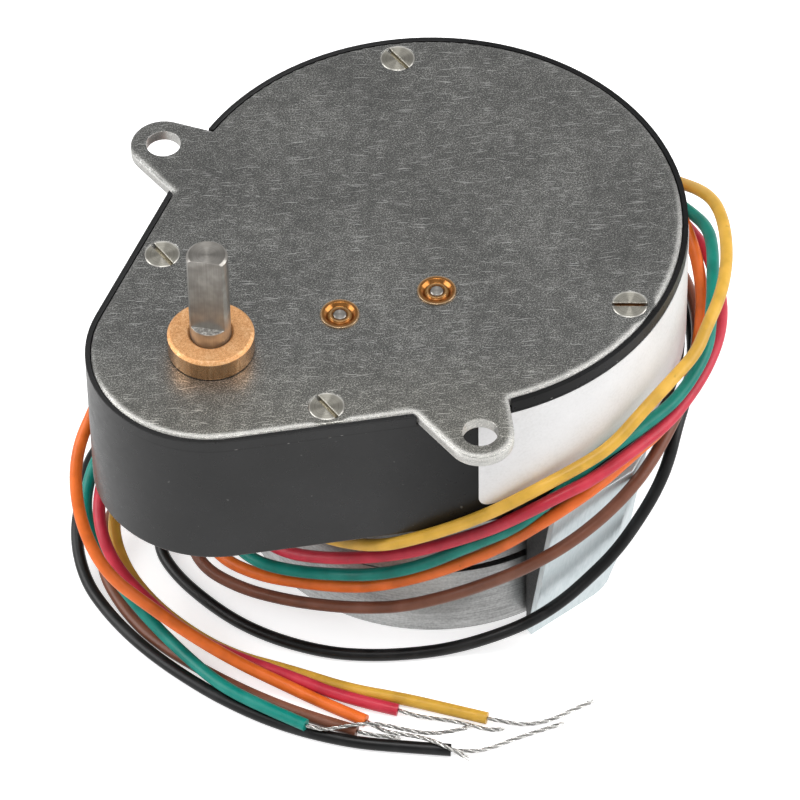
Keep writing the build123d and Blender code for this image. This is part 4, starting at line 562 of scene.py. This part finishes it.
# Bright zinc of the sheet clip
clip = Surface("clip_zinc_look", Metallic=1.0)
spangle = clip.noise(330, 3.0, 0.6)
tone = clip.blend((spangle, 0.5), (clip.drawn((3000, 3000, 200)), 0.5))
zinc = clip.ramp(
    tone, (0.34, (0.68, 0.75, 0.77)), (0.5, (0.74, 0.81, 0.83)), (0.66, (0.80, 0.86, 0.88))
)
clip.put("Base Color", zinc)
clip.put("Roughness", clip.ramp(tone, (0.35, 0.58), (0.65, 0.46)))
clip.put("Normal", clip.bump(spangle, 0.00003, 0.25, clip.rounded(0.0003)))
dress(clip, "side_clip")

# Moulded black nylon
nylon = Surface("black_nylon_look")
grain = nylon.noise(3200, 2.0)
nylon.put(
    "Base Color", nylon.ramp(grain, (0.3, (0.008, 0.008, 0.009)), (0.7, (0.022, 0.022, 0.023)))
)
nylon.put("Roughness", nylon.ramp(grain, (0.3, 0.5), (0.7, 0.38)))
nylon.put("Normal", nylon.bump(grain, 0.00003, 0.5, nylon.rounded(0.0002)))
dress(nylon, "clip_block", "lead_outlet", "front_bobbin", "rear_bobbin", "rotor_hub")

# Blank vinyl label
label = Surface("label_paper_look")
fibre = label.noise(2400, 3.0)
tone = label.blend((fibre, 0.4), (label.noise(110, 2.0), 0.6))
vinyl = label.ramp(
    tone, (0.35, (0.76, 0.755, 0.745)), (0.5, (0.83, 0.825, 0.82)), (0.65, (0.87, 0.865, 0.86))
)
label.put("Base Color", vinyl)
label.put("Roughness", label.ramp(fibre, (0.3, 0.42), (0.7, 0.32)))
label.put("Normal", label.bump(label.noise(500, 2.0), 0.00003, 0.25))
dress(label, "label")


def machined(name, scale, dark, pale, dull, shiny, depth, ease=None):
    """Bare metal with a grain, and with eased edges where a radius is given."""
    made = Surface(name, Metallic=1.0)
    marks = made.noise(scale, 3.0)
    made.put("Base Color", made.ramp(marks, (0.35, dark), (0.65, pale)))
    made.put("Roughness", made.ramp(marks, (0.35, dull), (0.65, shiny)))
    made.put("Normal", made.bump(marks, depth, 0.4, made.rounded(ease) if ease else None))
    return made


# Pieces inside the gearbox and the motor
gear_steel = machined(
    "gear_steel_look", 2600, (0.34, 0.34, 0.335), (0.58, 0.58, 0.57), 0.42, 0.28, 0.00002, 0.0001
)
dress(gear_steel, "output_gear", "output_washer", "output_ring", "idler_1_pinion", "idler_2_pinion")
gear_brass = machined(
    "gear_brass_look", 2600, (0.56, 0.38, 0.14), (0.82, 0.6, 0.28), 0.38, 0.25, 0.00002, 0.0001
)
dress(gear_brass, "idler_1_wheel", "idler_2_wheel", "motor_pinion")
iron = machined(
    "pole_iron_look", 1500, (0.10, 0.10, 0.105), (0.26, 0.26, 0.27), 0.6, 0.42, 0.00003
)
dress(iron, "front_pole_plate", "rear_pole_plate")

magnet = Surface("ferrite_look", Roughness=0.6)
marks = magnet.noise(1800, 3.0)
ferrite = magnet.ramp(marks, (0.35, (0.02, 0.02, 0.021)), (0.65, (0.05, 0.05, 0.05)))
magnet.put("Base Color", ferrite)
magnet.put("Normal", magnet.bump(marks, 0.00004, 0.5))
dress(magnet, "rotor_magnet")

coil = Surface("copper_wire_look", Metallic=1.0)
turns = make(
    coil.tree, "ShaderNodeTexWave", {"Vector": coil.place, "Scale": 900.0}, bands_direction="Z"
).outputs["Fac"]
coil.put("Base Color", coil.ramp(turns, (0.0, (0.22, 0.075, 0.03)), (1.0, (0.62, 0.26, 0.12))))
coil.put("Roughness", coil.ramp(turns, (0.0, 0.5), (1.0, 0.28)))
coil.put("Normal", coil.bump(turns, 0.0001, 0.8))
dress(coil, "front_winding", "rear_winding")

# Colours of the leads
PVC = {
    "yellow": (0.72, 0.41, 0.053),
    "red": (0.59, 0.033, 0.062),
    "green": (0.0, 0.225, 0.178),
    "orange": (0.80, 0.155, 0.018),
    "brown": (0.205, 0.077, 0.044),
    "black": (0.004, 0.004, 0.0042),
}


def pvc(name, colour):
    """Coloured insulation, a little hazy and smudged."""
    made = Surface("pvc_" + name + "_look", IOR=1.5)
    haze = made.noise(240, 3.0)
    deep = tuple(0.82 * c for c in colour)
    pale = tuple(min(1.0, 1.1 * c + 0.012) for c in colour)
    tint = made.ramp(haze, (0.35, deep), (0.5, colour), (0.68, pale))
    smut = made.ramp(made.noise(620, 2.0, 0.7), (0.70, 0.0), (0.76, 0.35))
    made.put("Base Color", made.mix(smut, tint, tuple(0.45 * c for c in colour)))
    made.put("Roughness", made.ramp(haze, (0.3, 0.32), (0.7, 0.42)))
    made.put("Specular IOR Level", 0.35)
    made.put("Normal", made.bump(made.noise(4200, 2.0), 0.00002, 0.35))
    return made


# Tinned strands of the bare ends, some wires painted bright as light and some painted dark as shade
tin = Surface("tinned_copper_look", Metallic=1.0)
marks = tin.noise(3800, 2.0)
shade = make(tin.tree, "ShaderNodeAttribute", attribute_name="shade").outputs["Fac"]
# Painted shade on the dark wires and painted light on the bright ones, chosen by each wire's shade
dull = tin.ramp(marks, (0.35, (0.10, 0.098, 0.094)), (0.65, (0.20, 0.195, 0.185)))
lit_wire = tin.ramp(marks, (0.35, (0.70, 0.69, 0.66)), (0.65, (0.95, 0.94, 0.91)))
tin.put("Base Color", tin.mix(shade, dull, lit_wire))
tin.put("Roughness", tin.ramp(marks, (0.35, 0.34), (0.65, 0.22)))
tin.put("Normal", tin.bump(marks, 0.00002, 0.3))


def spline(name, points):
    """A smooth open curve with the route's points as its control points."""
    curve = bpy.data.curves.new(name, "CURVE")
    curve.dimensions = "3D"
    curve.resolution_u = 10
    line = curve.splines.new("NURBS")
    line.points.add(len(points) - 1)
    for knot, point in zip(line.points, points):
        knot.co = (*point, 1)
    line.order_u = 3
    line.use_endpoint_u = True
    made = bpy.data.objects.new(name, curve)
    scene.collection.objects.link(made)
    return made


def read(made):
    """The points that a curve with no bevel runs through."""
    bpy.context.view_layer.update()
    depsgraph = bpy.context.evaluated_depsgraph_get()
    mesh = bpy.data.meshes.new_from_object(made.evaluated_get(depsgraph))
    points = [v.co.copy() for v in mesh.vertices]
    bpy.data.meshes.remove(mesh)
    return points


def even(points, step):
    """The same line with points a step apart."""
    spaced, left = [points[0]], step
    for a, b in zip(points, points[1:]):
        run = (b - a).length
        while run >= left:
            a = a + (b - a) * (left / run)
            spaced.append(a)
            run, left = (b - a).length, step
        left -= run
    return spaced


def carried(line):
    """Each point of a line with two directions across it, carried along without a twist."""
    across = Vector((0, 0, 1)).cross(line[1] - line[0]).normalized()
    frames = []
    for k, here in enumerate(line):
        ahead = (line[min(k + 1, len(line) - 1)] - line[max(k - 1, 0)]).normalized()
        across = (across - ahead * across.dot(ahead)).normalized()
        frames.append((here, across, ahead.cross(across)))
    return frames


def twist(name, points):
    """Bare wires twisted round a line, of uneven length and a little apart at their ends."""
    frames = carried(even(points, STRAND_STEP))
    verts, faces, shades = [], [], []
    for wire in range(STRAND_WIRES):
        # Each wire stops at its own step, and bends out by its own amount
        last = len(frames) - (wire * 5) % 9 - 1
        first = len(verts)
        spread = STRAND_FLARE * (0.4 + 0.6 * ((wire * 3) % 5) / 4)
        for k, (here, u, v) in enumerate(frames[:last + 1]):
            loose = max(0.0, (k - last + STRAND_FLARE_STEPS) / STRAND_FLARE_STEPS)
            turn = 2 * math.pi * (k * STRAND_STEP / STRAND_PITCH + wire / STRAND_WIRES)
            out = STRAND_LAY_R + loose * spread
            middle = here + (u * math.cos(turn) + v * math.sin(turn)) * out
            middle.z = max(middle.z, FLOOR + STRAND_WIRE_R)
            for side in range(STRAND_SIDES):
                a = 2 * math.pi * side / STRAND_SIDES
                verts.append(middle + (u * math.cos(a) + v * math.sin(a)) * STRAND_WIRE_R)
                # Each wire's painted light and shade, read by the strand material
                shades.append(STRAND_SHADES[wire])
        for k in range(last):
            for side in range(STRAND_SIDES):
                a = first + k * STRAND_SIDES + side
                b = first + k * STRAND_SIDES + (side + 1) % STRAND_SIDES
                faces.append((a, b, b + STRAND_SIDES, a + STRAND_SIDES))
        end = first + last * STRAND_SIDES
        faces.append(tuple(first + side for side in reversed(range(STRAND_SIDES))))
        faces.append(tuple(end + side for side in range(STRAND_SIDES)))
    mesh = bpy.data.meshes.new(name)
    mesh.from_pydata([tuple(v) for v in verts], [], faces)
    mesh.polygons.foreach_set("use_smooth", [len(p.vertices) == 4 for p in mesh.polygons])
    mesh.attributes.new("shade", "FLOAT", "POINT").data.foreach_set("value", shades)
    made = bpy.data.objects.new(name, mesh)
    scene.collection.objects.link(made)
    return made


# Leads and their twisted ends
for colour, route in LEADS.items():
    bare_route = spline("bare_route_" + colour, STRANDS[colour])
    bare = twist("bare_" + colour, read(bare_route))
    bpy.data.objects.remove(bare_route)
    bare.data.materials.append(tin.mat)
    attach(bare, "gearmotor")
    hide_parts("strand_" + colour)
    wire = spline("wire_" + colour, route)
    way = read(wire)
    wire.data.bevel_depth = LEAD_R
    wire.data.bevel_resolution = 7
    wire.data.use_fill_caps = True
    wire.data.materials.append(pvc(colour, PVC[colour]).mat)
    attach(wire, "gearmotor")
    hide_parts("lead_" + colour)
    length = sum((b - a).length for a, b in zip(way, way[1:]))


def light_path(tree):
    """Whether a ray comes from the camera, and whether it was mirrored or let through."""
    rays = make(tree, "ShaderNodeLightPath").outputs
    sockets = {0: rays["Is Glossy Ray"], 1: rays["Is Transmission Ray"]}
    mirrored = make(tree, "ShaderNodeMath", sockets, operation="MAXIMUM").outputs["Value"]
    return rays["Is Camera Ray"], mirrored


WHITE = (1.0, 1.0, 1.0)

# Pale floor that keeps the shadow, and shows white in mirrors
FLOOR_HALF = 3
corners = [(-1, -1), (1, -1), (1, 1), (-1, 1)]
mesh = bpy.data.meshes.new("floor")
mesh.from_pydata([(x * FLOOR_HALF, y * FLOOR_HALF, FLOOR) for x, y in corners], [], [(0, 1, 2, 3)])
floor = bpy.data.objects.new("floor", mesh)
scene.collection.objects.link(floor)
ground = bpy.data.materials.new("floor_look")
ground.use_nodes = True
tree = ground.node_tree
tree.nodes.clear()
from_camera, mirrored = light_path(tree)
seen = make(tree, "ShaderNodeMath", {0: from_camera, 1: 0.58}, operation="MULTIPLY").outputs[0]
glow = make(tree, "ShaderNodeMath", {0: seen, 1: mirrored}, operation="MAXIMUM").outputs[0]
matte = make(tree, "ShaderNodeBsdfDiffuse", {"Color": (0.86, 0.86, 0.86)}).outputs[0]
shine = make(tree, "ShaderNodeEmission", {"Color": WHITE, "Strength": glow}).outputs[0]
both = make(tree, "ShaderNodeAddShader", {0: matte, 1: shine}).outputs[0]
either = make(tree, "ShaderNodeMixShader", {0: mirrored, 1: both, 2: shine}).outputs[0]
make(tree, "ShaderNodeOutputMaterial", {"Surface": either})
mesh.materials.append(ground)

# White surroundings, with a darker band above for metal to mirror
world = bpy.data.worlds.new("studio")
scene.world = world
world.use_nodes = True
tree = world.node_tree
tree.nodes.clear()
from_camera, mirrored = light_path(tree)
aim = make(tree, "ShaderNodeTexCoord").outputs["Generated"]
height = make(tree, "ShaderNodeSeparateXYZ", {"Vector": aim}).outputs["Z"]
sky = ramp(tree, height, (0.15, 1.0), (0.4, 0.45), (0.6, 0.22), (1.0, 1.0))
soft = mix(tree, mirrored, (0.55, 0.55, 0.56), sky)
plain = mix(tree, from_camera, soft, WHITE)
lit = make(tree, "ShaderNodeBackground", {"Color": plain, "Strength": 1.0}).outputs[0]
make(tree, "ShaderNodeOutputWorld", {"Surface": lit})


def lamp(name, place, aim, size, power):
    """A square soft box that faces a point."""
    light = bpy.data.lights.new(name, "AREA")
    light.size = size
    light.energy = power
    made = bpy.data.objects.new(name, light)
    made.location = place
    made.rotation_mode = "QUATERNION"
    made.rotation_quaternion = (Vector(aim) - Vector(place)).to_track_quat("-Z", "Y")
    scene.collection.objects.link(made)


MIDDLE = (0.03, 0.0, -0.03)
lamp("left_box", (-0.54, 0.43, 0.4), MIDDLE, 0.6, 4.5)
lamp("right_box", (0.6, -0.45, 0.4), MIDDLE, 0.6, 3.8)
lamp("over_box", (-0.04, -0.08, 0.85), MIDDLE, 0.36, 2.4)

# Camera where the photograph was taken from
lens = bpy.data.cameras.new("camera")
lens.sensor_width = 36
lens.lens = 289.54
lens.clip_start = 0.05
lens.clip_end = 20
stand = Vector((-0.36744, -0.5138, 0.68823))
look = Vector((0.02593, -0.01104, -0.02))
roll = math.radians(-1.019)
camera = bpy.data.objects.new("camera", lens)
camera.location = stand
camera.rotation_mode = "QUATERNION"
level_view = (look - stand).to_track_quat("-Z", "Y")
camera.rotation_quaternion = level_view @ Quaternion((0, 0, 1), roll)
scene.collection.objects.link(camera)
scene.camera = camera
